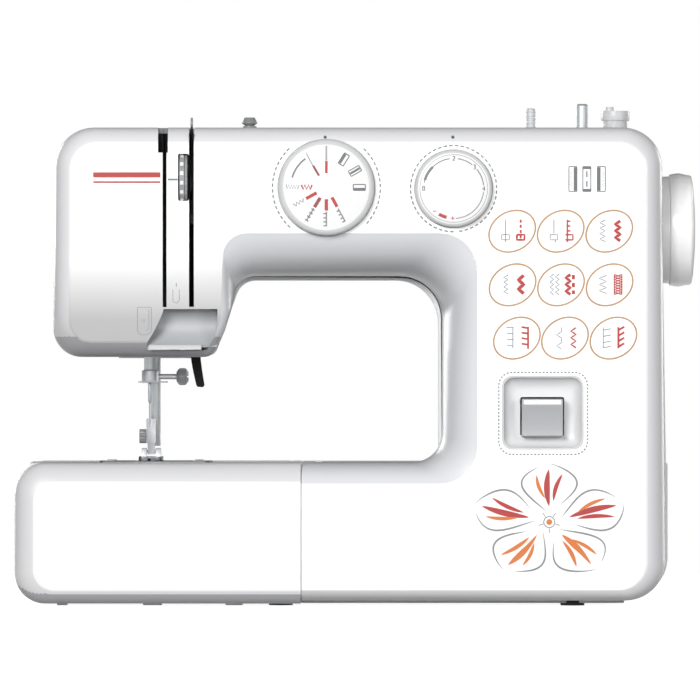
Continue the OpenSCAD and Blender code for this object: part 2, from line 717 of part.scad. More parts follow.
bezel_y = [front_y, -56];
module lever_bezel() {
    color(shell_grey) difference() {
        y_plate(bezel_y) soft_rect(lever_x, lever_z, 6);
        y_plate([front_y - cut, -58]) soft_rect(lever_x + [1.6, -1.6], lever_z + [1.6, -1.6], 4.4);
        box([101.5, 114.5], [-60, -50], [100, 115]);
    }
}

module reverse_lever() {
    color(light_grey) difference() {
        union() {
            y_plate([-74, -60.5]) soft_rect([96, 120], [98.4, 120.6], 1.2);
            box([103, 113], [-61, reverse_pivot[0]], [106, 112]);
            x_rod(5, [103, 113], reverse_pivot[0], reverse_pivot[1]);
        }
        x_rod(2.5 + run_gap, [90, 120], reverse_pivot[0], reverse_pivot[1]);
        x_rod(20, [90, 125], -92, 108);
    }
}

module scoop_outline() {
    polygon([[-121, 149], [-121, 153.4], [-118.6, 159], [-115.4, 165.5], [-111.8, 172.6], [-80.6, 172.6],
        [-80.6, 160], [-86, 151], [-88, 149]]);
}
module thread_scoop() {
    color(shell_grey) intersection() {
        y_plate([front_y, -20]) offset(delta = 1.6) scoop_outline();
        x_plate([-122.6, -80.9]) polygon([[-58.5, 173.4], [-50, 172.6], [-44, 167], [-41, 158], [-40, 150.4],
            [-38, 150.4], [-39, 158.4], [-42.2, 168.4], [-49.2, 174.6], [-56, 175.6]]);
    }
}

// ---------- lower shaft, shuttle and feed ----------
shuttle_x = [-127, -113];
module lower_shaft() { color(steel) x_rod(shaft_r, [-111.5, 90], axis_y, lower_z); }

module shuttle_race() {
    color(dark_steel) difference() {
        union() {
            x_rod(21, shuttle_x, axis_y, lower_z);
            box([-127, -105], [axis_y - 6, axis_y + 6], [16, lower_z - 19.5]);
        }
        x_rod(18.5, [shuttle_x[0] - cut, shuttle_x[1] + cut], axis_y, lower_z);
        box([needle_x - 3, needle_x + 3], [axis_y - 4, axis_y + 4], [lower_z + 10, lower_z + 25]);
    }
}

module shuttle_hook() {
    color(steel) difference() {
        x_rod(18.1, [-126, -112.7], axis_y, lower_z);
        x_rod(14.6, [-127, -115.5], axis_y, lower_z);
        x_plate([-127, -115.5]) translate([axis_y, lower_z])
            polygon([[0, 0], [30, 8], [30, 30], [-6, 30], [-2, 12]]);
    }
}

module bobbin_case() {
    color(steel) {
        difference() {
            x_rod(13.9, [-129.6, -116.6], axis_y, lower_z);
            x_rod(12.2, [-128.6, -115], axis_y, lower_z);
            box([-127, -119], [axis_y - 3, axis_y + 3], [lower_z + 8, lower_z + 20]);
        }
        x_rod(3, [-129, -117], axis_y, lower_z);
        box([-131, -129.6], [axis_y - 2, axis_y + 2], [lower_z - 3, lower_z + 17]);
    }
}

module bobbin() {
    color([0.85, 0.87, 0.9]) difference() {
        union() {
            for (x = [-128.2, -118.2]) x_rod(10.3, [x, x + 1], axis_y, lower_z);
            x_rod(4.4, [-128, -117.4], axis_y, lower_z);
        }
        x_rod(3 + run_gap, [-130, -116], axis_y, lower_z);
    }
}

module feed_dog() {
    teeth = 11;
    pitch = 2.4;
    tip = plate_z[1] - 0.2;
    first = slot_y[0] + 3;
    color(steel) {
        for (x = feed_rows) {
            box([x - 1.3, x + 1.3], [first, first + teeth * pitch], [76, tip - 1.2]);
            x_plate([x - 1.3, x + 1.3]) for (k = [0:teeth - 1])
                polygon([[first + k * pitch, tip - 1.3], [first + (k + 1) * pitch, tip - 1.3],
                    [first + k * pitch, tip]]);
        }
        box([feed_rows[0] - 1.3, feed_rows[1] + 1.3], [14, 19], [75, 78]);
        for (x = feed_rows) box([x - 1.3, x + 1.3], [first, 16], [75, 77]);
    }
}

// ---------- cams, motor and lamp ----------
module cam_stack() {
    teeth = 26;
    wheel_r2 = cam_at[1] - main_z - 7.3;
    color([0.9, 0.88, 0.8]) difference() {
        union() {
            y_plate([-12, -4]) translate(cam_at) polygon([for (k = [0:4 * teeth - 1])
                (wheel_r2 - (k % 4 < 2 ? 0 : 1.6)) * [cos(90 * k / teeth), sin(90 * k / teeth)]]);
            for (k = [0:5]) y_plate([-4 + 4 * k, k < 5 ? -1 + 4 * k : 19]) translate(cam_at)
                rotate(60 * k) translate([1.2, 0]) circle(13 + k % 3);
            y_rod(8, cam_at[0], [-14, 20], cam_at[1]);
        }
        y_rod(3 + run_gap, cam_at[0], [-16, 22], cam_at[1]);
    }
}

motor_at = [2, 44];
motor_shaft_r = 3;
module motor() {
    color(dark_steel) difference() {
        union() {
            x_rod(22, [102, 148], motor_at[0], motor_at[1]);
            x_rod(9, [148, 151], motor_at[0], motor_at[1]);
            box([112, 138], [18, frame_y[0]], [16, 32]);
        }
        x_rod(motor_shaft_r + run_gap, [130, 155], motor_at[0], motor_at[1]);
        for (k = [0:9]) translate([0, motor_at[0], motor_at[1]]) rotate([36 * k, 0, 0])
            box([108, 142], [19.5, 25], [-1.5, 1.5]);
    }
}
module motor_pulley() {
    color(steel) {
        x_rod(motor_shaft_r, [132, 164], motor_at[0], motor_at[1]);
        tube(6, motor_shaft_r, belt_x, motor_at[0], motor_at[1]);
    }
}
module motor_belt() {
    color(black) belt([belt_x[0] + 1, belt_x[1] - 1], [belt_wheel_r, axis_y, main_z],
        [6, motor_at[0], motor_at[1]], 0.4, 2);
}

module lamp() {
    color([0.9, 0.88, 0.82]) {
        z_rod(8, -156, 4, [196, 214]);
        box([-160, -140], [8, 34], [200, 212]);
        z_rod(6.5, -156, 4, [176, 196]);
        translate([-156, 4, 176]) intersection() {
            sphere(6.5);
            translate([-8, -8, -8]) cube([16, 16, 8]);
        }
    }
}

// ---------- top ----------
module spool_pin() {
    color(light_grey) translate([spool_at[0], spool_at[1], 0]) {
        translate([0, 0, 228]) cylinder(r = 2.4, h = 51.5);
        translate([0, 0, 279.5]) cylinder(r = 2.95, h = 10.1);
        translate([0, 0, 289.6]) cylinder(r1 = 2.95, r2 = 2, h = 1.6);
    }
}

module winder_spindle() {
    color(steel) translate([spindle_at[0], spindle_at[1], 0]) {
        translate([0, 0, 252]) cylinder(r = 3.5, h = 40.2);
        translate([0, 0, 292.2]) cylinder(r1 = 3.5, r2 = 2.6, h = 1);
        translate([0, 0, top_z + 0.3]) cylinder(r = 5.6, h = 0.9);
        translate([0, 0, 256]) cylinder(r = 9, h = 6);
    }
}

// The sliding plate that holds the winder spindle
carriage_z = [264, 268];
module winder_carriage() {
    color(dark_steel) difference() {
        box([spindle_at[0] - 12, spindle_at[0] + 10], [-9, 24], carriage_z);
        z_rod(3.5 + run_gap, spindle_at[0], spindle_at[1], [carriage_z[0] - cut, carriage_z[1] + cut]);
    }
}

module winder_stopper() {
    color(light_grey) translate([stopper_at[0], stopper_at[1], 0]) {
        translate([0, 0, top_z - 8]) cylinder(r = 3.2, h = 9);
        translate([0, 0, top_z]) cylinder(r = 7, h = 5.2);
        translate([0, 0, top_z + 5.2]) cylinder(r1 = 8, r2 = 8.4, h = 1.2);
        translate([0, 0, top_z + 6.4]) cylinder(r = 8.4, h = 4.6);
        translate([-3.4, 0, top_z + 11]) cylinder(r = 2.6, h = 2.4);
    }
}

// ---------- extension table ----------
table_face = [[table_split - seam_gap, 9.6, 0], [table_split - seam_gap, bed_z - 12, 0],
    [left_end + 12.2, bed_z - 12, 12], [left_end + 12.2, 9.6, 12]];
table_edge = [[table_split - seam_gap, 1.5, 0], [table_split - seam_gap, bed_z, 0],
    [left_end, bed_z, 17.5], [left_end, 1.5, 17.5]];
box_y = [29.5, 64];          // the storage compartment behind the free arm
box_x = [-186, -38];
lid_pin = [62.3, 81.7];

module table_body() {
    face = outline(table_face);
    edge = outline(table_edge);
    n = len(face);
    front = [for (j = [0:edge_steps]) let (a = edge_start + (90 - edge_start) * j / edge_steps,
        s = (sin(a) - sin(edge_start)) / (1 - sin(edge_start)),
        y = 13 * (cos(edge_start) - cos(a)) / cos(edge_start)) [s, y]];
    layers = concat([for (f = front) [f[0], front_y + f[1]]],
        [for (j = [edge_steps:-1:0]) [front[j][0], base_rear - front[j][1]]]);
    m = len(layers);
    polyhedron([for (l = layers, i = [0:n - 1]) let (p = face[i] + (edge[i] - face[i]) * l[0])
        [p[0], l[1], p[1]]],
        concat([[for (i = [n - 1:-1:0]) i]], [[for (i = [0:n - 1]) (m - 1) * n + i]],
            [for (j = [0:m - 2], i = [0:n - 1]) let (k = (i + 1) % n)
                [j * n + i, j * n + k, (j + 1) * n + k, (j + 1) * n + i]]));
}

glide_x = [[-174, -168], [-124, -113], [-76, -66]];
glide_y = [[-52, -45], [66, 71]];

module extension_table() {
    color(white) difference() {
        union() {
            table_body();
            for (x = glide_x, y = glide_y) box(x, y, [0.3, 3]);
        }
        box([-191.5, table_split + cut], [-43.2, 27.2], [-cut, bed_z + cut]);
        box([-186, -36], [-62, -42], [6, 78]);
        box(box_x, box_y, [6, bed_z + cut]);
        x_rod(1.3, [box_x[0] - 2, box_x[1] + 2], lid_pin[0], lid_pin[1]);
    }
}

module storage_lid() {
    color(white) difference() {
        union() {
            box(box_x + [0.4, -0.4], [box_y[0] + 0.4, lid_pin[0] + 0.8], [bed_z - 2.6, bed_z]);
            x_rod(1.2, [box_x[0] - 1.8, box_x[1] + 1.8], lid_pin[0], lid_pin[1]);
        }
        box([-118, -106], [box_y[0] - 1, box_y[0] + 6], [bed_z - 1, bed_z + cut]);
    }
}

// ---------- rear and side fittings ----------
module carrying_handle() {
    color(light_grey) difference() {
        union() {
            for (side = [-1, 1]) {
                x = side > 0 ? [handle_x - 8, handle_x + 0.4] : [-handle_x - 0.4, -handle_x + 8];
                box(x, [handle_at[0] - 3, handle_at[0] + 3], [206, handle_at[1]]);
                x_rod(3, x, handle_at[0], handle_at[1]);
            }
            box([-handle_x, handle_x], [handle_at[0] - 3, handle_at[0] + 3], [206, 220]);
            x_rod(2.5, [-handle_x - 4.6, -handle_x], handle_at[0], handle_at[1]);
            x_rod(2.5, [handle_x, handle_x + 4.6], handle_at[0], handle_at[1]);
        }
    }
}

module power_inlet() {
    color(black) {
        difference() {
            box([168.5, right_end + 2], inlet_y + [0.1, -0.1], inlet_z + [0.1, -0.1]);
            box([171, right_end + 4], inlet_y + [2.5, -2.5], inlet_z + [2.5, -2.5]);
        }
        for (z = [47, 57]) x_rod(1.6, [170, right_end], 21, z);
    }
}

module power_switch() {
    color(black) difference() {
        y_rod(9, switch_at[0], switch_y + [0.5, -0.5], switch_at[1]);
        translate([switch_at[0] + 6.6, 0, switch_at[1]]) rotate([0, -9, 0])
            box([0, 10], [30, 60], [0, 12]);
    }
}

module cover_screws() {
    for (at = screw_places) difference() {
        union() {
            y_rod(1.5, at[0], [arm_rear - 7, arm_rear + 0.4], at[1]);
            y_rod(3.6, at[0], [arm_rear, arm_rear + 1.6], at[1]);
        }
        for (turn = [0, 90]) translate([at[0], arm_rear + 1.6, at[1]]) rotate([0, turn, 0])
            cube([0.9, 1.6, 4.4], center = true);
    }
}

module screws() {
    color(steel) {
        plate_screws();
        cover_screws();
    }
}

front_cover();
rear_cover();
base_cover();
base_tray();
free_arm_cover();
main_frame();
needle_plate();
rubber_feet();
shaft_bushes();
main_shaft();
handwheel();
needle_crank();
upper_pulley();
needle_bar_link();
needle_bar_frame();
needle_bar();
needle_clamp();
needle();
clamp_screw();
take_up_lever();
presser_bar();
foot_holder();
presser_foot();
foot_thumbscrew();
presser_spring();
lifter_lever();
tension_discs();
tension_bracket();
tension_dial();
pattern_dial();
length_dial();
lever_bezel();
reverse_lever();
thread_scoop();
lower_shaft();
lower_pulley();
timing_belt();
shuttle_race();
shuttle_hook();
bobbin_case();
bobbin();
feed_dog();
cam_stack();
worm_gear();
motor();
motor_pulley();
motor_belt();
spool_pin();
winder_spindle();
winder_stopper();
thread_guide();
extension_table();
storage_lid();
hook_cover();
carrying_handle();
power_inlet();
power_switch();
lamp();
screws();
winder_carriage();
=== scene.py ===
"""The looks of a free-arm sewing machine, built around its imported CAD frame. Lengths are metres; outlines
are written in millimetres and scaled once, by MM."""
import itertools
import json
from math import acos, asin, atan2, ceil, cos, degrees, hypot, pi, radians, sin, tan

import bmesh
import bpy
from mathutils import Matrix, Vector

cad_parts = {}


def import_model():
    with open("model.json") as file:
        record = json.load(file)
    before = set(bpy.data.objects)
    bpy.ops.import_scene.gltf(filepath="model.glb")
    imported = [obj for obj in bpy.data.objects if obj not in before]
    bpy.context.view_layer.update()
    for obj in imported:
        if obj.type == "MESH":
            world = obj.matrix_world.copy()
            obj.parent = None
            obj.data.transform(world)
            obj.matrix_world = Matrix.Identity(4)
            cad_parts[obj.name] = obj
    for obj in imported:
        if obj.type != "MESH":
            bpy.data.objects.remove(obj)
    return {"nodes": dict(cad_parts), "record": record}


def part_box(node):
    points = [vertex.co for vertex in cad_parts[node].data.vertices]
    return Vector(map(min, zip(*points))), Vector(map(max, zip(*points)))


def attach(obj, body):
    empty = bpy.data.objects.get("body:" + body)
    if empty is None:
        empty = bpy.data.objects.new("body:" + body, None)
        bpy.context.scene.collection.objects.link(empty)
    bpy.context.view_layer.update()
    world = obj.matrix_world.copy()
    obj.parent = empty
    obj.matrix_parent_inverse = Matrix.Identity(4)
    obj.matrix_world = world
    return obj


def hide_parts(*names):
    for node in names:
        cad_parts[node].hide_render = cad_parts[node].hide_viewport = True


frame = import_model()
scene = bpy.context.scene
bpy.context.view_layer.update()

MM = 0.001
X, Y, Z = 0, 1, 2


def node_box(node):
    """The lowest and highest corner of a CAD node, in millimetres."""
    low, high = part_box(node)
    return Vector(low) / MM, Vector(high) / MM


def middle(node):
    low, high = node_box(node)
    return (low + high) / 2


# ---- driving dimensions, from the frame
front_low, front_high = node_box("front_cover")
table_low, table_high = node_box("extension_table")
FRONT_Y = front_low[Y]
TOP_Z = front_high[Z]
BED_Z = table_high[Z]
ARM_REAR = 45.0
BASE_REAR = node_box("base_cover")[1][Y]
AXIS_Y = node_box("rear_cover")[0][Y]
MAIN_Z = middle("handwheel")[Z]
THROAT_TOP = 192.0
THROAT_RIGHT = 50.3
HEAD_BOTTOM = 144.7
RIGHT_END = 180.0
SPLIT_X = -32.0
WALL = 2.5
WHEEL_R = (node_box("handwheel")[1][Z] - node_box("handwheel")[0][Z]) / 2


# ---- materials
MATERIALS = {}
STIR = 0.12


def feed(tree, node, inputs):
    """Sets a node's inputs: a value goes on the socket itself, and another node's socket is linked to it."""
    for key, value in inputs.items():
        if isinstance(value, bpy.types.NodeSocket):
            tree.links.new(value, node.inputs[key])
        else:
            node.inputs[key].default_value = value


def add_node(tree, kind, inputs=None, **settings):
    made = tree.nodes.new("ShaderNode" + kind)
    for key, value in settings.items():
        setattr(made, key, value)
    feed(tree, made, inputs or {})
    return made


def noise(tree, scale, detail, stretch=None):
    """A noise in object space; stretch squeezes it along one axis, as brushing does."""
    coords = add_node(tree, "TexCoord")
    mapping = add_node(tree, "Mapping", {"Vector": coords.outputs["Object"], "Scale": stretch or (1, 1, 1)})
    return add_node(tree, "TexNoise", {"Vector": mapping.outputs["Vector"], "Scale": scale,
            "Detail": detail}).outputs[0]


def place_fade(tree, drift, along, low, high):
    """0 at one place along an axis and 1 at another, in millimetres, stirred a little by a noise."""
    parts = add_node(tree, "SeparateXYZ", {0: add_node(tree, "TexCoord").outputs["Object"]})
    scaled = add_node(tree, "MapRange", {"Value": parts.outputs[along], "From Min": low * MM,
            "From Max": high * MM})
    return add_node(tree, "Math", {0: drift, 1: STIR, 2: scaled.outputs["Result"]},
            operation="MULTIPLY_ADD", use_clamp=True).outputs[0]


def shade(color, factor):
    return (*(min(1.0, c * factor) for c in color), 1)


def surface(name, color, marks, tints, roughs, relief, constants, drift=None, fade=None):
    """A material whose marks (scale, detail, stretch) change its gloss and its relief (depth, strength).

    The tone runs between the two tints with the marks, with a slower drift, or with the place."""
    material = MATERIALS[name] = bpy.data.materials.new(name)
    material.use_nodes = True
    tree = material.node_tree
    fine = noise(tree, *marks)
    tone = noise(tree, *drift) if drift else fine
    if fade:
        tone, tints = place_fade(tree, tone, *fade[:3]), (fade[3], 1)
    base = shade(color, 1)
    if tints:
        base = add_node(tree, "Mix", {"A": shade(color, tints[0]), "B": shade(color, tints[1]),
                "Factor": tone}, data_type="RGBA").outputs["Result"]
    gloss = add_node(tree, "MapRange", {"Value": fine, "To Min": roughs[0], "To Max": roughs[1]})
    bump = add_node(tree, "Bump", {"Height": fine, "Distance": relief[0], "Strength": relief[1]})
    feed(tree, tree.nodes["Principled BSDF"], {
        "Base Color": base, "Roughness": gloss.outputs["Result"], "Normal": bump.outputs["Normal"], **constants})
    return material


def plastic(name, color, rough=0.3, coat=0.0, gloss=0.5, fade=None):
    """Moulded plastic: a fine grain in the gloss, a slow drift of tone, and a faint orange peel."""
    return surface(name, color, (900, 2), (0.965, 1.02), (rough * 0.85, rough * 1.2), (0.00002, 0.25),
            {"IOR": 1.5, "Coat Weight": coat, "Coat Roughness": 0.12, "Specular IOR Level": gloss},
            (14, 2), fade)


def metal(name, color, rough, brushed=None, metallic=0.8):
    """Metal with fine working marks; brushed stretches them along the axis with the small number."""
    surface(name, color, (500, 4, brushed), (0.86, 1.08), (rough * 0.7, rough * 1.5), (0.00001, 0.3),
            {"Metallic": metallic, "Anisotropic": 0.4 if brushed else 0.0})


def rubber(name, color):
    surface(name, color, (700, 5), (0.7, 1.5), (0.65, 0.85), (0.00005, 0.4), {"Specular IOR Level": 0.35})


def ink(name, color):
    """Pad-printed ink: slightly uneven cover and a satin surface."""
    surface("ink_" + name, color, (1500, 3), (0.9, 1.08), (0.32, 0.52), (0.00001, 0.2), {})


def glass(name, color):
    surface(name, color, (400, 3), None, (0.1, 0.3), (0.00002, 0.3), {"Transmission Weight": 0.85, "IOR": 1.49})


plastic("white_shell", (0.90, 0.90, 0.895), 0.26, coat=0.25)
# Painted shade: greyer copies of the white shell for the rounded edges, the throat, the table's edge, the walls, the
# undersides and the head's lower front; most fade darker towards the front edge, and the head's lower front darker
# downwards.
plastic("white_edge_painted_shade", (0.755, 0.755, 0.77), 0.32, fade=("Y", FRONT_Y + 10, FRONT_Y, 0.78))
plastic("white_throat_painted_shade", (0.74, 0.75, 0.77), 0.34, fade=("Y", FRONT_Y + 21, FRONT_Y, 0.62))
plastic("white_table_painted_shade", (0.70, 0.70, 0.71), 0.34, fade=("Y", FRONT_Y + 11, FRONT_Y, 0.76))
plastic("white_wall_painted_shade", (0.88, 0.88, 0.885), 0.34, fade=("Y", FRONT_Y + 11, FRONT_Y + 36, 0.64))
plastic("white_under_painted_shade", (0.37, 0.37, 0.385), 0.4)
plastic("white_head_painted_shade", (0.90, 0.90, 0.905), coat=0.15, fade=("Z", 166, 203, 0.56))
plastic("white_wheel", (0.97, 0.97, 0.97), coat=0.2)
# Painted shade for the dials' rounded rims.
plastic("dial_edge_painted_shade", (0.66, 0.665, 0.67))
plastic("pin_grey", (0.56, 0.57, 0.58), 0.34)
plastic("scoop_grey", (0.45, 0.465, 0.48), 0.34)
plastic("grey_shell", (0.74, 0.745, 0.75), 0.34)
plastic("light_plastic", (0.80, 0.805, 0.81))
plastic("dial_plastic", (0.89, 0.89, 0.89), 0.28)
plastic("bezel_grey", (0.70, 0.705, 0.71), 0.32)
plastic("wheel_grey", (0.30, 0.305, 0.31), 0.4)
plastic("lever_grey", (0.44, 0.45, 0.465))
plastic("black_plastic", (0.005, 0.005, 0.0055), 0.5, gloss=0.1)
# Painted shade: the black that lines the slots.
plastic("slot_painted_shade_black", (0.004, 0.004, 0.004), 0.6, gloss=0.1)
plastic("slot_grey", (0.16, 0.165, 0.17), 0.5)
plastic("knob_grey", (0.22, 0.225, 0.23), 0.4)
plastic("clear_grey", (0.52, 0.54, 0.56), 0.25, coat=0.3)
plastic("gear_plastic", (0.72, 0.68, 0.56), 0.5)
glass("bobbin_plastic", (0.85, 0.9, 0.95))
glass("lamp_glass", (0.95, 0.93, 0.85))
surface("cast_frame", (0.45, 0.46, 0.47), (260, 6), (0.75, 1.1), (0.45, 0.7), (0.0001, 0.5), {"Metallic": 0.85})
metal("bright_steel", (0.46, 0.46, 0.48), 0.5, metallic=0.5)
metal("needle_steel", (0.52, 0.54, 0.55), 0.45, (1, 1, 0.08), 0.6)
metal("blade_steel", (0.34, 0.37, 0.40), 0.4, (1, 1, 0.08), 0.6)
metal("plate_steel", (0.28, 0.285, 0.29), 0.42, (0.05, 1, 1))
metal("dark_steel", (0.14, 0.145, 0.15), 0.42)
metal("bronze", (0.55, 0.36, 0.16), 0.4)
rubber("foot_rubber", (0.02, 0.02, 0.02))
rubber("belt_rubber", (0.03, 0.03, 0.03))
ink("grey", (0.12, 0.125, 0.135))
ink("pale", (0.17, 0.175, 0.185))
ink("red", (0.42, 0.012, 0.008))
ink("orange", (0.66, 0.16, 0.012))
ink("ring", (0.44, 0.24, 0.10))
ink("faint", (0.34, 0.35, 0.37))
# Painted shadow, printed as a ring round each dial.
ink("shadow", (0.42, 0.43, 0.44))
ink("line", (0.20, 0.205, 0.215))
ink("dark_red", (0.24, 0.03, 0.025))
ink("blue", (0.15, 0.175, 0.22))


# ---- making pieces
replaced = set()


def add_object(name, data):
    made = bpy.data.objects.new(name, data)
    scene.collection.objects.link(made)
    return made


def make_mesh(name, shape):
    """A bmesh in millimetres as a mesh in metres."""
    bmesh.ops.scale(shape, vec=(MM, MM, MM), verts=shape.verts)
    mesh = bpy.data.meshes.new(name)
    shape.to_mesh(mesh)
    shape.free()
    return mesh


def smooth(mesh, sharp):
    mesh.shade_smooth()
    mesh.set_sharp_from_angle(angle=radians(sharp))


def finish_piece(name, shape, material, body="machine", sharp=24.0, nodes=()):
    """Turns a bmesh in millimetres into a piece that rides on a body."""
    piece = add_object(name, make_mesh(name, shape))
    piece.data.materials.append(MATERIALS[material])
    smooth(piece.data, sharp)
    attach(piece, body)
    if nodes:
        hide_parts(*nodes)
        replaced.update(nodes)
    return piece


def soften(piece, width=0.3, segments=2, angle=35.0):
    """Rounds the hard edges a little, as moulding and machining leave them."""
    modifier = piece.modifiers.new("edges", "BEVEL")
    modifier.width = width * MM
    modifier.segments = segments
    modifier.limit_method = "ANGLE"
    modifier.angle_limit = radians(angle)
    modifier.harden_normals = True


def merge(*shapes):
    """Several shapes as one mesh."""
    whole = shapes[0]
    for shape in shapes[1:]:
        temp = bpy.data.meshes.new("part")
        shape.to_mesh(temp)
        shape.free()
        whole.from_mesh(temp)
        bpy.data.meshes.remove(temp)
    return whole


def carve(piece, cutters, sharp=24.0):
    """Cuts bmesh shapes, in millimetres, out of a piece."""
    tool = add_object("cutters", make_mesh("cutters", merge(*cutters)))
    modifier = piece.modifiers.new("cut", "BOOLEAN")
    modifier.operation = "DIFFERENCE"
    modifier.object = tool
    modifier.solver = "EXACT"
    modifier.use_self = True
    graph = bpy.context.evaluated_depsgraph_get()
    made = bpy.data.meshes.new_from_object(piece.evaluated_get(graph))
    piece.modifiers.remove(modifier)
    piece.data = made
    mesh = tool.data
    bpy.data.objects.remove(tool)
    bpy.data.meshes.remove(mesh)
    smooth(made, sharp)


# ---- shapes, in millimetres
def corner_points(before, corner, after, steps):
    """A corner [x, z, radius] as the points of its arc; without a radius it is the plain point."""
    point, radius = Vector(corner[:2]), corner[2] if len(corner) > 2 else 0
    if not radius:
        return [point]
    u = (Vector(before[:2]) - point).normalized()
    v = (Vector(after[:2]) - point).normalized()
    half = acos(max(-1, min(1, u.dot(v)))) / 2
    reach = radius / tan(half)
    centre = point + (u + v).normalized() * radius / sin(half)
    turn = pi - 2 * half
    first, last = point + u * reach - centre, point + v * reach - centre
    return [centre + (first * sin((1 - k / steps) * turn) + last * sin(k / steps * turn))
            / sin(turn) for k in range(steps + 1)]


def outline(corners, steps=14):
    count = len(corners)
    points = []
    for i, corner in enumerate(corners):
        points += corner_points(corners[i - 1], corner, corners[(i + 1) % count], steps)
    return points


def quad(x, z, radii):
    """Four corners, anticlockwise from the bottom right."""
    return [[x[1], z[0], radii[0]], [x[1], z[1], radii[1]], [x[0], z[1], radii[2]], [x[0], z[0], radii[3]]]


def rect(x, z, radius, steps=6):
    return outline(quad(x, z, [radius] * 4), steps)


def disc(centre, radius, steps=48, stretch=1.0, tilt=0.0):
    turn = Matrix.Rotation(tilt, 2)
    return [Vector(centre) + turn @ Vector((x, z * stretch)) for x, z in circle(radius, steps)]


def place(point, depth, axis):
    """A drawn point and a depth as a place in space: the drawing stands in XZ, YZ or XY."""
    first, second = point[0], point[1]
    return {X: (depth, first, second), Y: (first, depth, second), Z: (first, second, depth)}[axis]


def rings_shape(rings, closed=False, shape=None):
    """A closed shape skinned over rings of points, capped at both ends unless the rings close up."""
    shape = shape or bmesh.new()
    made = [[shape.verts.new(p) for p in ring] for ring in rings]
    count = len(made[0])
    for first, second in zip(made, made[1:] + made[:1] if closed else made[1:]):
        for i in range(count):
            k = (i + 1) % count
            shape.faces.new((first[i], first[k], second[k], second[i]))
    if not closed:
        shape.faces.new(list(reversed(made[0])))
        shape.faces.new(made[-1])
    bmesh.ops.recalc_face_normals(shape, faces=shape.faces)
    return shape


def prism(points, depths, axis=Y):
    """A drawn outline pushed from one depth to another."""
    return rings_shape([[place(p, d, axis) for p in points] for d in depths])


def box_shape(x, y, z):
    return prism([(x[0], z[0]), (x[1], z[0]), (x[1], z[1]), (x[0], z[1])], y)


def rounded(corners, steps=6):
    """A profile of [along, radius, fillet] corners with its fillets drawn as arcs."""
    points = [Vector(corners[0][:2])]
    for before, corner, after in zip(corners, corners[1:], corners[2:]):
        points += corner_points(before, corner, after, steps)
    return points + [Vector(corners[-1][:2])]


def circle(radius, steps):
    return [(radius * cos(a), radius * sin(a)) for a in (2 * pi * k / steps for k in range(steps))]


def lathe(profile, centre, axis, steps=64):
    """A turned shape: the profile is (along, radius) pairs, from one end of the axis to the other."""
    rings = []
    for along, radius in profile:
        rings.append([Vector(place(p, along, axis)) + Vector(centre) for p in circle(max(radius, 0.001), steps)])
    return rings_shape(rings)


def knurl(shape, y, z, dip):
    """Scales a turned shape about an axis along X, by a factor of the place along it, the radius and the angle."""
    for vertex in shape.verts:
        ahead, up = vertex.co.y - y, vertex.co.z - z
        factor = dip(vertex.co.x, hypot(ahead, up), atan2(up, ahead))
        if factor != 1:
            vertex.co.y, vertex.co.z = y + ahead * factor, z + up * factor


# ---- the covers
SLOPE_TOP = 203.0
SLOPE_DEPTH = 13.0
SLOPE_RIGHT = -70.0
EDGE_START = radians(24)
EDGE_STEPS = 16
EDGE_DROP = 9.3
EDGE_BULGE = 1.15
TRIM_X = -60.0


def set_back(x, z):
    """How far the head's lower front curves back towards the needle."""
    if x > SLOPE_RIGHT or z > SLOPE_TOP or z < BED_Z + 1:
        return 0.0
    return SLOPE_DEPTH * ((SLOPE_TOP - z) / (SLOPE_TOP - HEAD_BOTTOM)) ** 1.8


FRONT_EDGE = [
    [RIGHT_END, 3.2, 23], [RIGHT_END - 2.4, TOP_Z, 23], [-175, TOP_Z, 23],
    [-175.6, SLOPE_TOP], [-175.9, 187], [-176.1, 172],
    [-176.3, HEAD_BOTTOM, 16.5], [-83.5, HEAD_BOTTOM, 8], [-77, 160], [-73.2, 172],
    [-68.5, THROAT_TOP, 12], [THROAT_RIGHT, THROAT_TOP, 25], [THROAT_RIGHT, BED_Z, 17],
    [TRIM_X, BED_Z], [TRIM_X, 3.2],
]
FRONT_FACE = [
    [168.1, 9.6, 16], [168.1, TOP_Z - EDGE_DROP, 16], [-165.7, TOP_Z - EDGE_DROP, 16],
    [-165.7, SLOPE_TOP], [-165.7, 188], [-165.7, 173],
    [-165.7, 154, 12], [-86, 154, 5], [-80.5, 163], [-78.6, 174],
    [-77, THROAT_TOP + 24.6, 14], [THROAT_RIGHT + 20, THROAT_TOP + 24.6, 22],
    [THROAT_RIGHT + 20, BED_Z - 12, 22], [TRIM_X + 8, BED_Z - 12], [TRIM_X + 8, 9.6],
]
REAR_EDGE = [
    [RIGHT_END + 2, 60], [RIGHT_END - 1.4, TOP_Z, 23], [-175, TOP_Z, 23],
    [-176.3, HEAD_BOTTOM, 16.5], [-83.5, HEAD_BOTTOM, 8],
    [-67.5, THROAT_TOP - 2.3, 12], [THROAT_RIGHT - 2, THROAT_TOP - 2.3, 25],
    [THROAT_RIGHT - 2, 60],
]
REAR_FACE = [
    [RIGHT_END - 10, 68], [RIGHT_END - 13.4, TOP_Z - 12, 14], [-163, TOP_Z - 12, 14],
    [-164.3, HEAD_BOTTOM + 12, 10], [-93, HEAD_BOTTOM + 12, 6],
    [-79, THROAT_TOP + 10, 12], [THROAT_RIGHT + 10, THROAT_TOP + 10, 20],
    [THROAT_RIGHT + 10, 68],
]
BASE_EDGE = quad((SPLIT_X + 0.2, RIGHT_END + 2.6), (3.2, BED_Z), (24, 2, 1, 1))
BASE_FACE = quad((SPLIT_X + 8, RIGHT_END - 10), (11, BED_Z - 12), (14, 4, 3, 3))
TABLE_EDGE = quad((table_low[X], SPLIT_X - 0.2), (1.5, BED_Z), (0, 0, 17.5, 17.5))
TABLE_FACE = quad((table_low[X] + 12.2, SPLIT_X - 0.2), (9.6, BED_Z - 12), (0, 0, 12, 12))
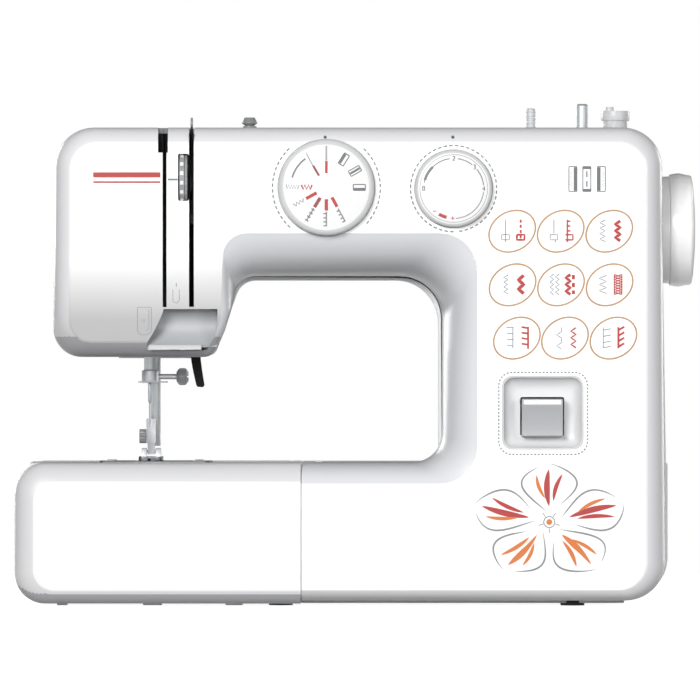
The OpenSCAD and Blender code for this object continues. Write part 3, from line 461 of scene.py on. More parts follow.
REAR_BULGE = 1.1
TABLE_BULGE = 13 / 17.2
COVER_SHARP = 14


def edge_arc(steps):
    """A round edge as shares of its reach and of its drop, which starts at an angle to the flat face."""
    start = EDGE_START
    for k in range(steps + 1):
        angle = start + (pi / 2 - start) * k / steps
        yield ((sin(angle) - sin(start)) / (1 - sin(start)),
                (cos(start) - cos(angle)) / cos(start))


def rounded_wall(face, edge, face_y, side, bulge):
    """The rings of a cover's round edge, from its flat face out to its outline."""
    return [[(a + (b - a) * share, face_y + side * (b - a).length * bulge * drop) for a, b in zip(face, edge)]
            for share, drop in edge_arc(EDGE_STEPS)]


def cover_shell(face_corners, edge_corners, face_y, seam_y, side, bulge, steps=16):
    """A moulded half shell of one wall's thickness, open at the seam."""
    face, edge = outline(face_corners, steps), outline(edge_corners, steps)
    inward = [(a - b).normalized() for a, b in zip(face, edge)]
    outer = rounded_wall(face, edge, face_y, side, bulge)
    rings = [[(p[0], y, p[1]) for p, y in ring] for ring in outer]
    rings.append([(b[0], seam_y, b[1]) for b in edge])
    rings.append([(b[0] + n[0] * WALL, seam_y, b[1] + n[1] * WALL) for b, n in zip(edge, inward)])
    for ring in reversed(outer):
        rings.append([(p[0] + n[0] * WALL, y + side * WALL, p[1] + n[1] * WALL)
                for (p, y), n in zip(ring, inward)])
    return rings_shape(rings)


def slope_head(shape, face_y, seam_y):
    """Adds level cuts to the head's lower front and lets it curve back."""
    for k in range(20):
        level = SLOPE_TOP + 1.5 - 3 * k
        bmesh.ops.bisect_plane(shape, geom=shape.verts[:] + shape.edges[:] + shape.faces[:],
                plane_co=(0, 0, level), plane_no=(0, 0, 1))
    for vertex in shape.verts:
        x, y, z = vertex.co
        vertex.co[Y] += set_back(x, z) * max(0, (seam_y - y) / (seam_y - face_y))
    bmesh.ops.triangulate(shape, faces=[f for f in shape.faces if len(f.verts) > 4])


TAKE_UP_X = middle("take_up_lever")[X] - 0.25
THREAD_SLOT_X = -111.2
SLOT_Z = (173.7, TOP_Z + 2)
WINDOW = ((-103.4, -97.0), (235.3, 262.7))
LEVER_LOW, LEVER_HIGH = node_box("lever_bezel")
SCOOP_TOP = 172.6
SCOOP_RIGHT = -80.6
SPINDLE = middle("winder_spindle")
SPOOL = middle("spool_pin")
STOPPER = middle("winder_stopper")
GUIDE = middle("thread_guide")


def scoop_outline():
    """The opening at the head's lower right: its left side sweeps down to the needle."""
    left = [(-111.8 - 9.6 * t ** 1.25, SCOOP_TOP - 19.4 * t) for t in (k / 12 for k in range(13))]
    return left + [(-122.0, HEAD_BOTTOM + 4), (-86.5, HEAD_BOTTOM + 4), (-85.6, 151.2), (-82.2, 156.5),
            (SCOOP_RIGHT, 163.0), (SCOOP_RIGHT, SCOOP_TOP)]


# Material slots of the painted shade on the covers.
EDGE, HEAD, THROAT, UNDER, WALLS = range(1, 6)


def paint_edge_shade(piece, edge):
    """Paints shade on the rounded edges, the throat, the walls and the undersides with greyer materials than the flat
    faces, and paints shade on the head's lower front, darker towards the needle.
    """
    for name in (edge, "white_head_painted_shade", "white_throat_painted_shade", "white_under_painted_shade", "white_wall_painted_shade"):
        piece.data.materials.append(MATERIALS[name])
    for polygon in piece.data.polygons:
        x, y, z = polygon.center / MM
        on_head = x < SLOPE_RIGHT and z > BED_Z + 5
        if y > FRONT_Y + set_back(x, z) + 0.3:
            in_throat = edge == "white_edge_painted_shade" and -82 < x < THROAT_RIGHT + 20 and BED_Z - 12 < z < THROAT_TOP + 26
            low = x < SLOPE_RIGHT and z < 20 or on_head and z < HEAD_BOTTOM + 12
            wall = abs(polygon.normal[Y]) < 0.05 or y > AXIS_Y
            look = (UNDER if low and polygon.normal[Z] < -0.38 else THROAT if in_throat else WALLS if wall
                    else EDGE)
            polygon.material_index = look
        elif on_head and z < SLOPE_TOP:
            polygon.material_index = HEAD


WHEEL_BAY = (176.8, 200)
NEEDLE_OPENING = ((-150, -84.5), (-40, 34), (HEAD_BOTTOM - 1, HEAD_BOTTOM + 12))


def shared_openings(pin, pin_radius):
    """What the front and the rear cover both leave open: the handwheel, a pin in the top, and the winder."""
    def top_hole(at, radius):
        return lathe([(TOP_Z - 10, radius), (TOP_Z + 2, radius)], (at[X], at[Y], 0), Z, 24)

    return [lathe([(x, WHEEL_R + 1.2) for x in WHEEL_BAY], (0, AXIS_Y, MAIN_Z), X), top_hole(pin, pin_radius),
            box_shape((SPINDLE[X] - 5, SPINDLE[X] + 9), (-4.5, 4.5), (TOP_Z - 10, TOP_Z + 2)), top_hole(STOPPER, 3.3)]


def front_cover():
    ahead = FRONT_Y - 2
    shape = cover_shell(FRONT_FACE, FRONT_EDGE, FRONT_Y, AXIS_Y - 0.15, 1, EDGE_BULGE)
    slope_head(shape, FRONT_Y, AXIS_Y)
    piece = finish_piece("front_cover_shell", shape, "white_shell", nodes=["front_cover"], sharp=COVER_SHARP)
    carve(piece, [
        box_shape((TRIM_X - 5, SPLIT_X + 0.2), (ahead, 0), (0, BED_Z + 1)),
        box_shape((SPLIT_X - 1, SPLIT_X + 8.1), (-42.2, 0), (0, BED_Z + 1)),
        box_shape(*NEEDLE_OPENING),
        box_shape((TAKE_UP_X - 1.4, TAKE_UP_X + 1.4), (ahead, -36), SLOT_Z),
        box_shape((THREAD_SLOT_X - 1.15, THREAD_SLOT_X + 1.15), (ahead, -50), (SLOT_Z[0], 264)),
        box_shape((-115, -109.3), (ahead, -50), (263.3, SLOT_Z[1])),
        prism(rect(*WINDOW, 1.2), (ahead, FRONT_Y + 6)),
        prism(rect((LEVER_LOW[X], LEVER_HIGH[X]), (LEVER_LOW[Z], LEVER_HIGH[Z]), 6), (ahead, FRONT_Y + 6)),
        prism(scoop_outline(), (ahead, -40)),
    ] + shared_openings(GUIDE, 2.3), COVER_SHARP)
    paint_edge_shade(piece, "white_edge_painted_shade")
    soften(piece, 0.35, angle=50)


def rear_cover():
    arm = cover_shell(REAR_FACE, REAR_EDGE, ARM_REAR, AXIS_Y, -1, REAR_BULGE)
    piece = finish_piece("rear_cover_arm", arm, "grey_shell", nodes=["rear_cover"], sharp=COVER_SHARP)
    carve(piece, [
        box_shape(*NEEDLE_OPENING),
        box_shape((THROAT_RIGHT - 10, RIGHT_END + 8), (AXIS_Y - 1, ARM_REAR + 2), (50, BED_Z)),
    ] + shared_openings(SPOOL, 3.4), COVER_SHARP)
    soften(piece, 0.35, angle=50)


def base_cover():
    base = cover_shell(BASE_FACE, BASE_EDGE, BASE_REAR, AXIS_Y, -1, REAR_BULGE)
    block = finish_piece("base_cover_shell", base, "grey_shell", nodes=["base_cover"], sharp=COVER_SHARP)
    side_wall = (RIGHT_END - 5, RIGHT_END + 5)
    inlet_low, inlet_high = node_box("power_inlet")
    switch_low, switch_high = node_box("power_switch")
    vents = [box_shape((x, x + 2.2), (BASE_REAR - 5, BASE_REAR + 2), (26, 58)) for x in range(70, 150, 6)]
    carve(block, vents + [
        box_shape((SPLIT_X - 2, SPLIT_X + 12), (AXIS_Y - 1, 26.3), (0, BED_Z + 1)),
        box_shape((THROAT_RIGHT + 1, RIGHT_END - 4), (AXIS_Y - 1, ARM_REAR - WALL), (60, BED_Z + 10)),
        box_shape(side_wall, (inlet_low[Y], inlet_high[Y]), (inlet_low[Z], inlet_high[Z])),
        box_shape(side_wall, (switch_low[Y] - 0.5, switch_high[Y] + 0.5),
            (switch_low[Z] - 0.6, switch_high[Z] + 0.6)),
    ], COVER_SHARP)
    soften(block, 0.35, angle=50)


def handle_lugs():
    hinge_y, hinge_z, thick = 50, 256, 5
    lugs = merge(*[lathe([(x, 5.2), (x + thick, 5.2)], (0, hinge_y, hinge_z), X, 32) for x in (59, -64)],
            *[box_shape((x, x + thick), (ARM_REAR - 1, hinge_y), (hinge_z - 4.5, hinge_z + 4.5))
            for x in (59, -64)])
    soften(finish_piece("handle_lugs", lugs, "grey_shell", sharp=30), 0.4)


def extension_table():
    front, edge = outline(TABLE_FACE), outline(TABLE_EDGE)
    near, far = (rounded_wall(front, edge, y, side, TABLE_BULGE) for y, side in ((FRONT_Y, 1), (table_high[Y], -1)))
    rings = [[(p[0], y, p[1]) for p, y in ring] for ring in near]
    rings += [[(p[0], y, p[1]) for p, y in ring] for ring in reversed(far)]
    glides = [box_shape(x, y, (0.35, 3.0)) for x in ((-174, -168), (-124, -113), (-76, -66))
            for y in ((-52, -45), (66, 71))]
    piece = finish_piece("extension_table_shell", rings_shape(rings), "white_shell", "extension_table",
            nodes=["extension_table"], sharp=COVER_SHARP)
    soften(finish_piece("extension_table_glides", merge(*glides), "grey_shell", "extension_table"), 0.3)
    arm_low, arm_high = node_box("free_arm_cover")
    lid_low, lid_high = node_box("storage_lid")
    carve(piece, [
        box_shape((-191.5, SPLIT_X + 2), (arm_low[Y] - 1.2, arm_high[Y] + 1.2), (-2, BED_Z + 2)),
        box_shape((-186, -36), (-62, -42), (6, 78)),
        box_shape((lid_low[X] + 1.4, lid_high[X] - 1.4), (lid_low[Y] - 0.4, lid_high[Y] + 0.9), (6, BED_Z + 2)),
    ], COVER_SHARP)
    paint_edge_shade(piece, "white_table_painted_shade")
    soften(piece, 0.4, angle=50)


front_cover()
rear_cover()
base_cover()
handle_lugs()
extension_table()


# ---- fittings on the front
def dial(node, edge):
    """A turning dial: a flat face with a crisp rim, a rounded edge, and its shaft."""
    low, high = node_box(node)
    centre, radius = (low + high) / 2, (high[X] - low[X]) / 2 - 0.05
    face = low[Y] + 0.1
    profile = [(face, 0)] + [(face + edge * 0.9 * drop, radius - edge + edge * share) for share, drop in edge_arc(8)]
    profile += [(FRONT_Y - 0.8, radius), (FRONT_Y - 0.4, radius - 0.4), (FRONT_Y - 0.4, 3.9), (high[Y], 3.9)]
    piece = finish_piece(node + "_knob", lathe(profile, (centre[X], 0, centre[Z]), Y, 144), "dial_plastic", node,
            nodes=[node], sharp=20)
    # The rim behind the flat face takes a greyer material, a painted shade.
    piece.data.materials.append(MATERIALS["dial_edge_painted_shade"])
    for polygon in piece.data.polygons:
        polygon.material_index = int(polygon.center[1] > (face + 0.1) * MM)


def handwheel():
    low, high = node_box("handwheel")
    r = WHEEL_R
    thick = high[X] - low[X] - 0.05
    profile = rounded([[low[X] + along, *rest] for along, *rest in (
        (0, 4.05), (0, r - 2.2, 0.6), (6.0, r - 2.0, 0.5), (6.3, r - 0.9, 0.6), (9.2, r - 0.35, 3),
        (11.5, r - 0.02, 5), (16.2, r - 1.1, 6), (19.0, r - 1.4, 1.6), (19.9, r - 6, 2), (20.9, 15.2, 0.4),
        (20.2, 14.6, 0.2), (20.2, 13.8, 0.2), (20.8, 13.2, 0.4), (thick, 6, 3), (thick, 0))])
    shape = lathe(profile, (0, AXIS_Y, MAIN_Z), X, 144)

    def flute(x, _, angle):
        share = (x - low[X] - 8) / 9.5
        return 1 - 0.0045 * max(0.0, cos(36 * angle)) ** 2 * sin(share * pi) if 0 < share < 1 else 1

    knurl(shape, AXIS_Y, MAIN_Z, flute)
    finish_piece("handwheel_rim", shape, "white_wheel", "main_shaft", 30, ["handwheel"])


def lever_and_bezel():
    x, z = (LEVER_LOW[X], LEVER_HIGH[X]), (LEVER_LOW[Z], LEVER_HIGH[Z])

    def inset(by, y, radius):
        return [(p[0], y, p[1]) for p in rect((x[0] + by, x[1] - by), (z[0] + by, z[1] - by), radius)]

    low, high = node_box("reverse_lever")
    hole = rect((low[X] - 0.8, high[X] + 0.8), (low[Z] - 5.2, high[Z] + 0.9), 1.2)
    rings = [inset(0.05, FRONT_Y + 3.5, 6), inset(0.05, FRONT_Y + 0.5, 6), inset(0.35, FRONT_Y + 0.15, 5.8)]
    for k in range(11):
        angle = radians(12 + 7.8 * k)
        rings.append(inset(0.7 + 7.5 * (1 - cos(angle)), FRONT_Y + 0.15 + 7.5 * sin(angle) - 1.5,
                max(2, 5.8 - 0.3 * k)))
    rings += [[(p[0], FRONT_Y + depth, p[1]) for p in hole] for depth in (6.2, 9.5)]
    rings.append(inset(0.05, FRONT_Y + 9.5, 6))
    finish_piece("lever_bezel_dish", rings_shape(rings, closed=True), "bezel_grey",
            nodes=["lever_bezel"], sharp=35)

    left, right, top, bottom = low[X] + 0.1, high[X] - 0.1, high[Z] - 0.1, low[Z] + 0.1
    front = low[Y] + 0.2
    pivot_y, pivot_z, arm_x = -24, 109, (103, 113)
    dish = [(front + 0.35 + 3.4 * sin(t * pi / 2) ** 0.8, high[Z] - 3.9 - t * 17.6)
            for t in (k / 14 for k in range(15))]
    body = [(FRONT_Y + 7.5, bottom), (FRONT_Y + 7.5, top), (front + 1.2, top), (front + 0.35, high[Z] - 1)]
    body += dish + [(front + 4.4, bottom)]
    arm = merge(prism(body, (left, right), X),
            box_shape(arm_x, (FRONT_Y + 7, pivot_y), (pivot_z - 3, pivot_z + 3)),
            box_shape((left - 0.6, right + 0.6), (FRONT_Y + 10.3, FRONT_Y + 11.6), (low[Z] - 6.5, low[Z] + 9)),
            lathe([(x, 5) for x in arm_x], (0, pivot_y, pivot_z), X, 40))
    soften(finish_piece("reverse_lever_paddle", arm, "lever_grey", "reverse_lever",
            nodes=["reverse_lever"], sharp=30), 0.35)
    # The lip takes the white dial plastic as a painted highlight on the grey lever.
    lip = prism(rounded([[front + 1.6, high[Z] - 0.6], [front, high[Z] - 0.7, 0.6], [front, high[Z] - 3.6, 0.5],
            [front + 1.6, high[Z] - 3.7]]), (left + 1, right - 1), X)
    finish_piece("reverse_lever_lip_painted_highlight", lip, "dial_plastic", "reverse_lever")


def scoop():
    """The dished lead-in under the take-up slot, and the ledge that closes it at the bottom."""
    low, high = node_box("thread_scoop")
    block = prism(rect((low[X], high[X]), (low[Z], SCOOP_TOP + 1.6), 1), (FRONT_Y + 5.5, high[Y]))
    piece = finish_piece("thread_scoop_dish", block, "scoop_grey", nodes=["thread_scoop"])
    across = (low[X] - 5, high[X] + 5)
    dish = lathe([(x, 15) for x in across], (0, FRONT_Y + 4.0, 163.2), X, 96)
    carve(piece, [dish, box_shape(across, (FRONT_Y - 2, FRONT_Y + 8.6), (140, 150.8))], 30)
    ledge = prism(rounded([[FRONT_Y + 15, 149.0], [FRONT_Y + 15, 151.3, 0.8], [FRONT_Y + 10.4, 152.2, 0.8],
            [FRONT_Y + 10.2, 149.0]]), (-120.5, -90), X)
    finish_piece("thread_scoop_ledge", ledge, "white_head_painted_shade")


def slot_liners():
    """Black linings of the thread slot and the take-up slot, with a dark plate deep behind them: painted shade that
    keeps the slots dark.
    """
    z = (SLOT_Z[0] + 0.05, TOP_Z - 3.6)
    above = (z[1] + 0.02, TOP_Z - 0.3)
    t, a = THREAD_SLOT_X, TAKE_UP_X
    deep = (-37, -35.6)

    def cheek(x, back):
        front = [(FRONT_Y + 0.35 + set_back(x[0], v), v) for v in (z[0] + (z[1] - z[0]) * k / 24 for k in range(25))]
        return prism(front + [(back, z[1]), (back, z[0])], x, X)

    shapes = [cheek((t - 1.12, t - 0.7), -58), cheek((t + 0.7, t + 1.12), -58),
            cheek((a - 1.39, a - 1.12), -38), cheek((a + 1.12, a + 1.39), -38),
            box_shape((t - 3, t + 3), (-61.5, -59.3), z), box_shape((-114.9, -112.3), (-62, -59.3), (263.5, z[1])),
            box_shape((a - 4, a + 4), deep, (168, 222))]
    finish_piece("slot_painted_shade_linings", merge(*shapes), "slot_painted_shade_black")
    ends = [box_shape(x, (FRONT_Y + 9.5, -48), above) for x in ((-114.9, -112.3), (-112.0, -109.4))]
    ends.append(box_shape((a - 3.4, a + 3.4), deep, above))
    finish_piece("slot_ends", merge(*ends), "slot_grey")


def tension_wheel():
    low, high = node_box("tension_dial")
    centre, r = (low + high) / 2, (high[Z] - low[Z]) / 2 - 0.05
    x = (low[X] + 0.1, high[X] - 0.1)
    profile = rounded([[x[0], 2.1], [x[0], r, 0.5], [x[1] - 1.8, r, 0.2], [x[1] - 1.6, r - 0.7, 0.2],
            [x[1], r - 0.7, 0.5], [x[1], 2.1]])
    shape = lathe(profile, (0, centre[Y], centre[Z]), X, 160)
    knurl(shape, centre[Y], centre[Z], lambda along, reach, angle:
            0.986 if along > x[1] - 2 and reach > 18 and cos(40 * angle) > 0 else 1)
    finish_piece("tension_dial_wheel", shape, "wheel_grey", "tension_dial",
            nodes=["tension_dial"], sharp=30)
    marks = []
    for k in range(-4, 5):
        start, inner, outer = radians(16 * k - 90) + 0.12, r - 0.3, r + 0.03
        mark = [(centre[Y] + reach * sin(start + half), centre[Z] + reach * cos(start + half))
                for half, reach in ((-0.055, inner), (-0.055, outer), (0.055, outer), (0.055, inner))]
        marks.append(prism(mark, (x[0] + 0.5, x[0] + 2.4), X))
    finish_piece("tension_dial_marks", merge(*marks), "white_shell", "tension_dial")


def take_up():
    """The take-up lever: a blade on its hub in dark steel, a painted shade of the slot it runs in, with a bright
    thread eye above the cover.
    """
    x = (TAKE_UP_X - 0.75, TAKE_UP_X + 0.75)
    blade = [(12, 241.5), (6, 231.5), (-44, 266), (-55, 274.5), (-58.2, 278.6), (-50.6, 278.6), (-47, 276)]
    tip = [(-58.3, 278.7), (-60, 281), (-57.5, 283.9), (-53, 283.4), (-52, 280.6), (-50.7, 278.7)]
    hub = lathe(rounded([[x[0] - 1.1, 3.1], [x[0] - 1.1, 6.4, 0.4], [x[1] + 1.6, 6.4, 0.4], [x[1] + 1.6, 3.1]]),
            (0, 10, 236), X, 48)
    soften(finish_piece("take_up_blade_painted_shade", merge(prism(blade, x, X), hub), "dark_steel", "take_up_lever",
            nodes=["take_up_lever"]), 0.25)
    eye = finish_piece("take_up_eye", prism(tip, x, X), "bright_steel", "take_up_lever")
    carve(eye, [lathe([(x[0] - 3, 1.15), (x[1] + 3, 1.15)], (0, -56.6, 281), X, 32)])
    soften(eye, 0.3)


dial("pattern_dial", 3.0)
dial("length_dial", 2.2)
handwheel()
lever_and_bezel()
scoop()
slot_liners()
tension_wheel()
take_up()


# ---- printing
# Each print stands proud by its own small amount, so crossing prints don't lie in one plane.
INK = 0.05
ORIGIN = (0, 0)
prints = {}
depths = itertools.cycle([INK + 0.003 * k for k in [*range(1, 23), 0]])


def face_surface(x, z):
    """The depth of the front cover's outside, on its flat, its slope and its top edge."""
    y = FRONT_Y + set_back(x, z)
    over = (z - (TOP_Z - EDGE_DROP)) / EDGE_DROP
    if over > 0:
        angle = asin(min(1, over * (1 - sin(EDGE_START)) + sin(EDGE_START)))
        y += EDGE_DROP * EDGE_BULGE * (cos(EDGE_START) - cos(angle)) / cos(EDGE_START)
    return y


def dial_printer(node):
    """The middle of a dial's face, and a function that prints a path on it."""
    centre, depth = middle(node), node_box(node)[0][Y] + 0.1

    def put(key, path, width, closed=False):
        ribbon(key + "@" + node, path, width, lambda x, z: depth, closed)

    return (centre[X], centre[Z]), put


def finer(path, closed, longest=2.0):
    """The path with its long steps divided, so that it follows a curved surface."""
    made = []
    for a, b in zip(path, list(path[1:]) + ([path[0]] if closed else [])):
        parts = max(1, ceil((b - a).length / longest))
        made += [a.lerp(b, k / parts) for k in range(parts)]
    return made if closed else made + [path[-1]]


def ribbon(key, path, width, surface=face_surface, closed=False):
    """A printed line along a path; key names its ink and the body that it rides on."""
    shape = prints.setdefault(key, bmesh.new())
    proud = next(depths)
    if surface is face_surface:
        path = finer(path, closed)
    count = len(path)
    rings = []
    for i, point in enumerate(path):
        before = path[i - 1] if i or closed else point
        after = path[(i + 1) % count] if i + 1 < count or closed else point
        along = (after - before).normalized()
        full = width(i / (count - 1)) if callable(width) else width
        side = Vector((-along[1], along[0])) * full / 2
        y = surface(*point)
        rings.append([(p[0], y + d, p[1]) for p, d in ((point + side, -proud), (point - side, -proud),
                (point - side, INK), (point + side, INK))])
    rings_shape(rings, closed, shape)


def patch(key, points, surface=face_surface):
    """A printed solid area."""
    shape = prints.setdefault(key, bmesh.new())
    proud = next(depths)
    rings_shape([[(p[0], surface(*p) + d, p[1]) for p in points] for d in (-proud, INK)], False, shape)


def dashes(path, on, off):
    """A closed path as separate short pieces."""
    step, carry, points = 0.3, 0.0, []
    for a, b in zip(path, path[1:] + path[:1]):
        length, t = (b - a).length, carry
        while t < length:
            points.append(a.lerp(b, t / length))
            t += step
        carry = t - length
    run, gap = round(on / step), round(off / step)
    return [points[i:i + run + 1] for i in range(0, len(points) - run, run + gap)]


def clock(centre, radius, turn):
    """The point of a circle at a clock angle, in degrees."""
    return Vector(centre) + radius * Vector((sin(radians(turn)), cos(radians(turn))))


def ring(centre, radius, steps=120):
    return curve(centre, radius, -180, 180, steps)[:-1]


def curve(centre, radius, first, last, steps):
    """Part of a circle between two clock angles, in degrees clockwise from the top."""
    return [clock(centre, radius, first + (last - first) * k / steps) for k in range(steps + 1)]


def zigzag(centre, width, height, teeth):
    return [Vector((centre[0] + (-1) ** k * width / 2, centre[1] + height * (0.5 - k / (2 * teeth))))
            for k in range(2 * teeth + 1)]


def line(*points):
    return [Vector(p) for p in points]


def bar(x, top, bottom):
    return line((x, top), (x, bottom))


def shifted(paths, centre, turn=0.0):
    """Paths drawn about the origin, turned clockwise by degrees and moved to a centre."""
    spin = Matrix.Rotation(-radians(turn), 2)
    return [[Vector(centre) + spin @ Vector(p) for p in path] for path in paths]


def stitch_cells():
    """Nine stitch pictures, each in a tilted ring: the plain stitch on the left, the stretch one on the right."""
    columns = ((90.5, 118.6, 146.8), (90.7, 118.8, 147.0), (93.2, 121.1, 149.2))
    rows = (217.7, 186.6, 155.7)
    box = line((-2.2, -2.2), (2.2, -2.2), (2.2, -5.2), (-2.2, -5.2))
    hem = box + box[:1]
    plain = [
        [bar(0, 6.6, -6.6), hem], [bar(0, 6.6, -1.6), hem, bar(0.8, -5.2, -6.8)],
        [zigzag(ORIGIN, 3.4, 12.6, 4)], [zigzag(ORIGIN, 2.6, 11, 4)],
        [zigzag((-1.4, 0), 2.2, 12, 4), zigzag((1.8, 0), 2.2, 12, 4)], [zigzag(ORIGIN, 4.6, 10.6, 3)],
        [bar(1.6, 6, -6), line((-2.2, 6), (2, 6))] + [line((-1.8, z), (1.6, z)) for z in (2.4, -1.0, -4.6)],
        [line((1.8, 6), (1.8, 3.4), (-1, 1.6), (1.8, 0), (1.8, -3), (-1, -4.6), (1.8, -6.4))],
        [bar(-2, 6, -6)] + [line((-2, z), (2.4, z + 0.8)) for z in (4.4, 0.8, -2.8, -5.8)]]
    stretch = [
        [bar(0, z, z - 1.9) for z in (6.6, 3.6, 0.6, -2.4)] + [hem],
        [bar(-1, 6.6, -6.6)] + [line((-1, z), (0.8, z)) for z in (5.6, 2.8, 0)] + [box],
        [zigzag(ORIGIN, 3.0, 11.6, 3)], [zigzag(ORIGIN, 3.2, 10.6, 2)],
        [zigzag((-0.8, 0), 2.8, 11.6, 3), bar(2.3, 5.6, 3.0), bar(2.3, 1.0, -1.6), bar(2.3, -3.4, -5.6)],
        [zigzag(ORIGIN, 4.4, 11.6, 4), zigzag(ORIGIN, -4.4, 11.6, 4), bar(-2.2, 5.8, -5.8), bar(2.2, 5.8, -5.8)],
        [bar(1.6, 6.4, -6.4)] + [line((-2.2, z + 0.6), (1.6, z)) for z in (5.6, 2.4, -0.8, -4.0)],
        [zigzag(ORIGIN, 3.0, 11.6, 3)],
        [bar(-2, 6.2, -6.2)] + [line((-2, z), (1.4, z + 2)) for z in (4.4, 1.2, -2.0, -5.2)]]
    thick = (1.2, 0.95, 1.9, 2.1, 1.8, 0.7, 1.1, 1.0, 1.2)
    for row, z in enumerate(rows):
        for column, x in enumerate(columns[row]):
            k = 3 * row + column
            ribbon("ring", disc((x, z), 14.1, 72, 11.35 / 14.1, radians(30)), 0.95, closed=True)
            for path in shifted(plain[k], (x - 3.9, z + 0.2)):
                ribbon("blue", path, 0.55)
            for path in shifted(stretch[k], (x + 4.9, z + 0.2)):
                ribbon("red", path, thick[k])


def buttonhole_cells():
    for k, x in enumerate((125.7, 133.8, 142.2)):
        ribbon("grey", rect((x - 2.3, x + 2.3), (240.8, 255.2), 0.3, 2), 0.6, closed=True)
        if k == 1:
            for z in (241.6, 254.4):
                patch("grey", rect((x - 2.2, x + 2.2), (z - 0.7, z + 0.7), 0.1, 1))
            for z in (245.2, 250.8):
                ribbon("grey", bar(x, z - 1.7, z + 1.7), 0.8)
        else:
            bank, teeth = x + 1.35 * (1 - k), x - 1 + k
            patch("grey", rect((bank - 0.9, bank + 0.9), (241.2, 254.8), 0.1, 1))
            ribbon("pale", zigzag((teeth, 248), 1.1, 8, 5), 0.3)


def dial_surrounds():
    pattern, length = middle("pattern_dial"), middle("length_dial")
    at, to = (pattern[X], pattern[Z]), (length[X], length[Z])
    for path in dashes(ring(at, 31.3), 2.1, 1.2):
        mid = path[len(path) // 2] - Vector(at)
        if not 46 <= abs(degrees(atan2(mid[1], mid[0]))) <= 134:
            ribbon("pale", path, 0.85)
    for path in dashes(ring(to, 25.0), 2.1, 1.2):
        ribbon("pale", path, 0.85)
    # Grey rings round the dials: a painted shadow of the gaps around them.
    ribbon("shadow", ring(at, 28.15), 0.6, closed=True)
    ribbon("shadow", ring(to, 22.65), 0.6, closed=True)
    for x in (-18.0, 56.1):
        patch("grey", disc((x, 272.3), 0.95, 20))
    for path in dashes(rect((82.7, 134.2), (88.2, 135.8), 7.6, 10), 1.2, 0.9):
        ribbon("pale", path, 0.8)


def head_prints():
    ribbon("pale", line((-109.2, 247.7), (-103.6, 247.7)), 1.1)
    tag = outline([[-118.9, 159.6, 1.2], [-118.9, 173.6, 0.6], [-127.0, 173.6, 0.6], [-127.0, 159.2, 1.2],
            [-124.9, 157.6, 0.8], [-121.4, 157.6, 0.8]], 3)
    ribbon("faint", tag, 0.42, closed=True)
    for path, width in ((line((-121.0, 172.2), (-120.4, 171.6), (-120.4, 161.0), (-122.0, 160.2)), 0.35),
            (line((-124.6, 166.0), (-122.6, 166.6), (-123.6, 164.6)), 0.35),
            (line((-106.4, 184), (-106.4, 177), (-104, 176), (-102.6, 178), (-102.6, 184)), 0.35),
            (bar(-104.4, 187.6, 185.4), 0.5)):
        ribbon("faint", path, width)
    for z, half in ((250.4, 1.5), (246.2, 0.5)):
        patch("red", rect((-152.6, -113.6), (z - half, z + half), 0.4, 3))


def blossom():
    """A plain five-petalled flower: petals outlined with a tapering brush, and strokes of colour in them."""
    heart, length, width = Vector((112.0, 49.0)), 34.0, 24.0

    def taper(full):
        return lambda t: 0.12 + full * sin(pi * min(1, max(0, t))) ** 0.7

    for k in range(5):
        spin = Matrix.Rotation(radians(90 + 72 * k), 2)
        tone = "orange" if k in (2, 3) else "red"

        def put(points):
            turned = [spin @ Vector(p) for p in points]
            return [heart + Vector((p[0] * 1.34, p[1])) for p in turned]

        for side in (-1, 1):
            path = [(4.5 + (length - 4.5) * t ** 0.9, side * width / 2 * sin(pi * t ** 1.25) ** 0.8)
                    for t in (j / 24 for j in range(25))]
            ribbon("line", put(path[1:23] if side > 0 else path[4:]), taper(0.95))
        for offset, first, last, wide in ((-5.2, 0.36, 0.82, 2.3), (0.2, 0.27, 0.9, 3.4), (5.0, 0.4, 0.8, 2.0)):
            path = [(length * (first + (last - first) * t), offset * (0.35 + 0.75 * t) + 0.9 * sin(pi * t))
                    for t in (j / 12 for j in range(13))]
            ribbon("orange" if tone == "red" and offset > 4 else tone, put(path), taper(wide))
    ribbon("line", disc(heart, 3.2, 28), 0.6, closed=True)
    for k in range(5):
        turn = 36 - 72 * k
        ribbon("line", [clock(heart, 3.6, turn), clock(heart, 6.4, turn)], 0.5)
    patch("orange", disc(heart, 1.7, 24))


DIGITS = {
    0: [line((-0.5, 1), (0.5, 1), (0.5, -1), (-0.5, -1), (-0.5, 1))],
    2: [line((-0.5, 1), (0.5, 1), (0.5, 0.1), (-0.5, -1), (0.5, -1))],
    3: [line((-0.5, 1), (0.5, 1), (0, 0.1), (0.5, -0.4), (0.2, -1), (-0.5, -1))],
    4: [line((0.3, -1), (0.3, 1), (-0.6, -0.3), (0.6, -0.3))],
}


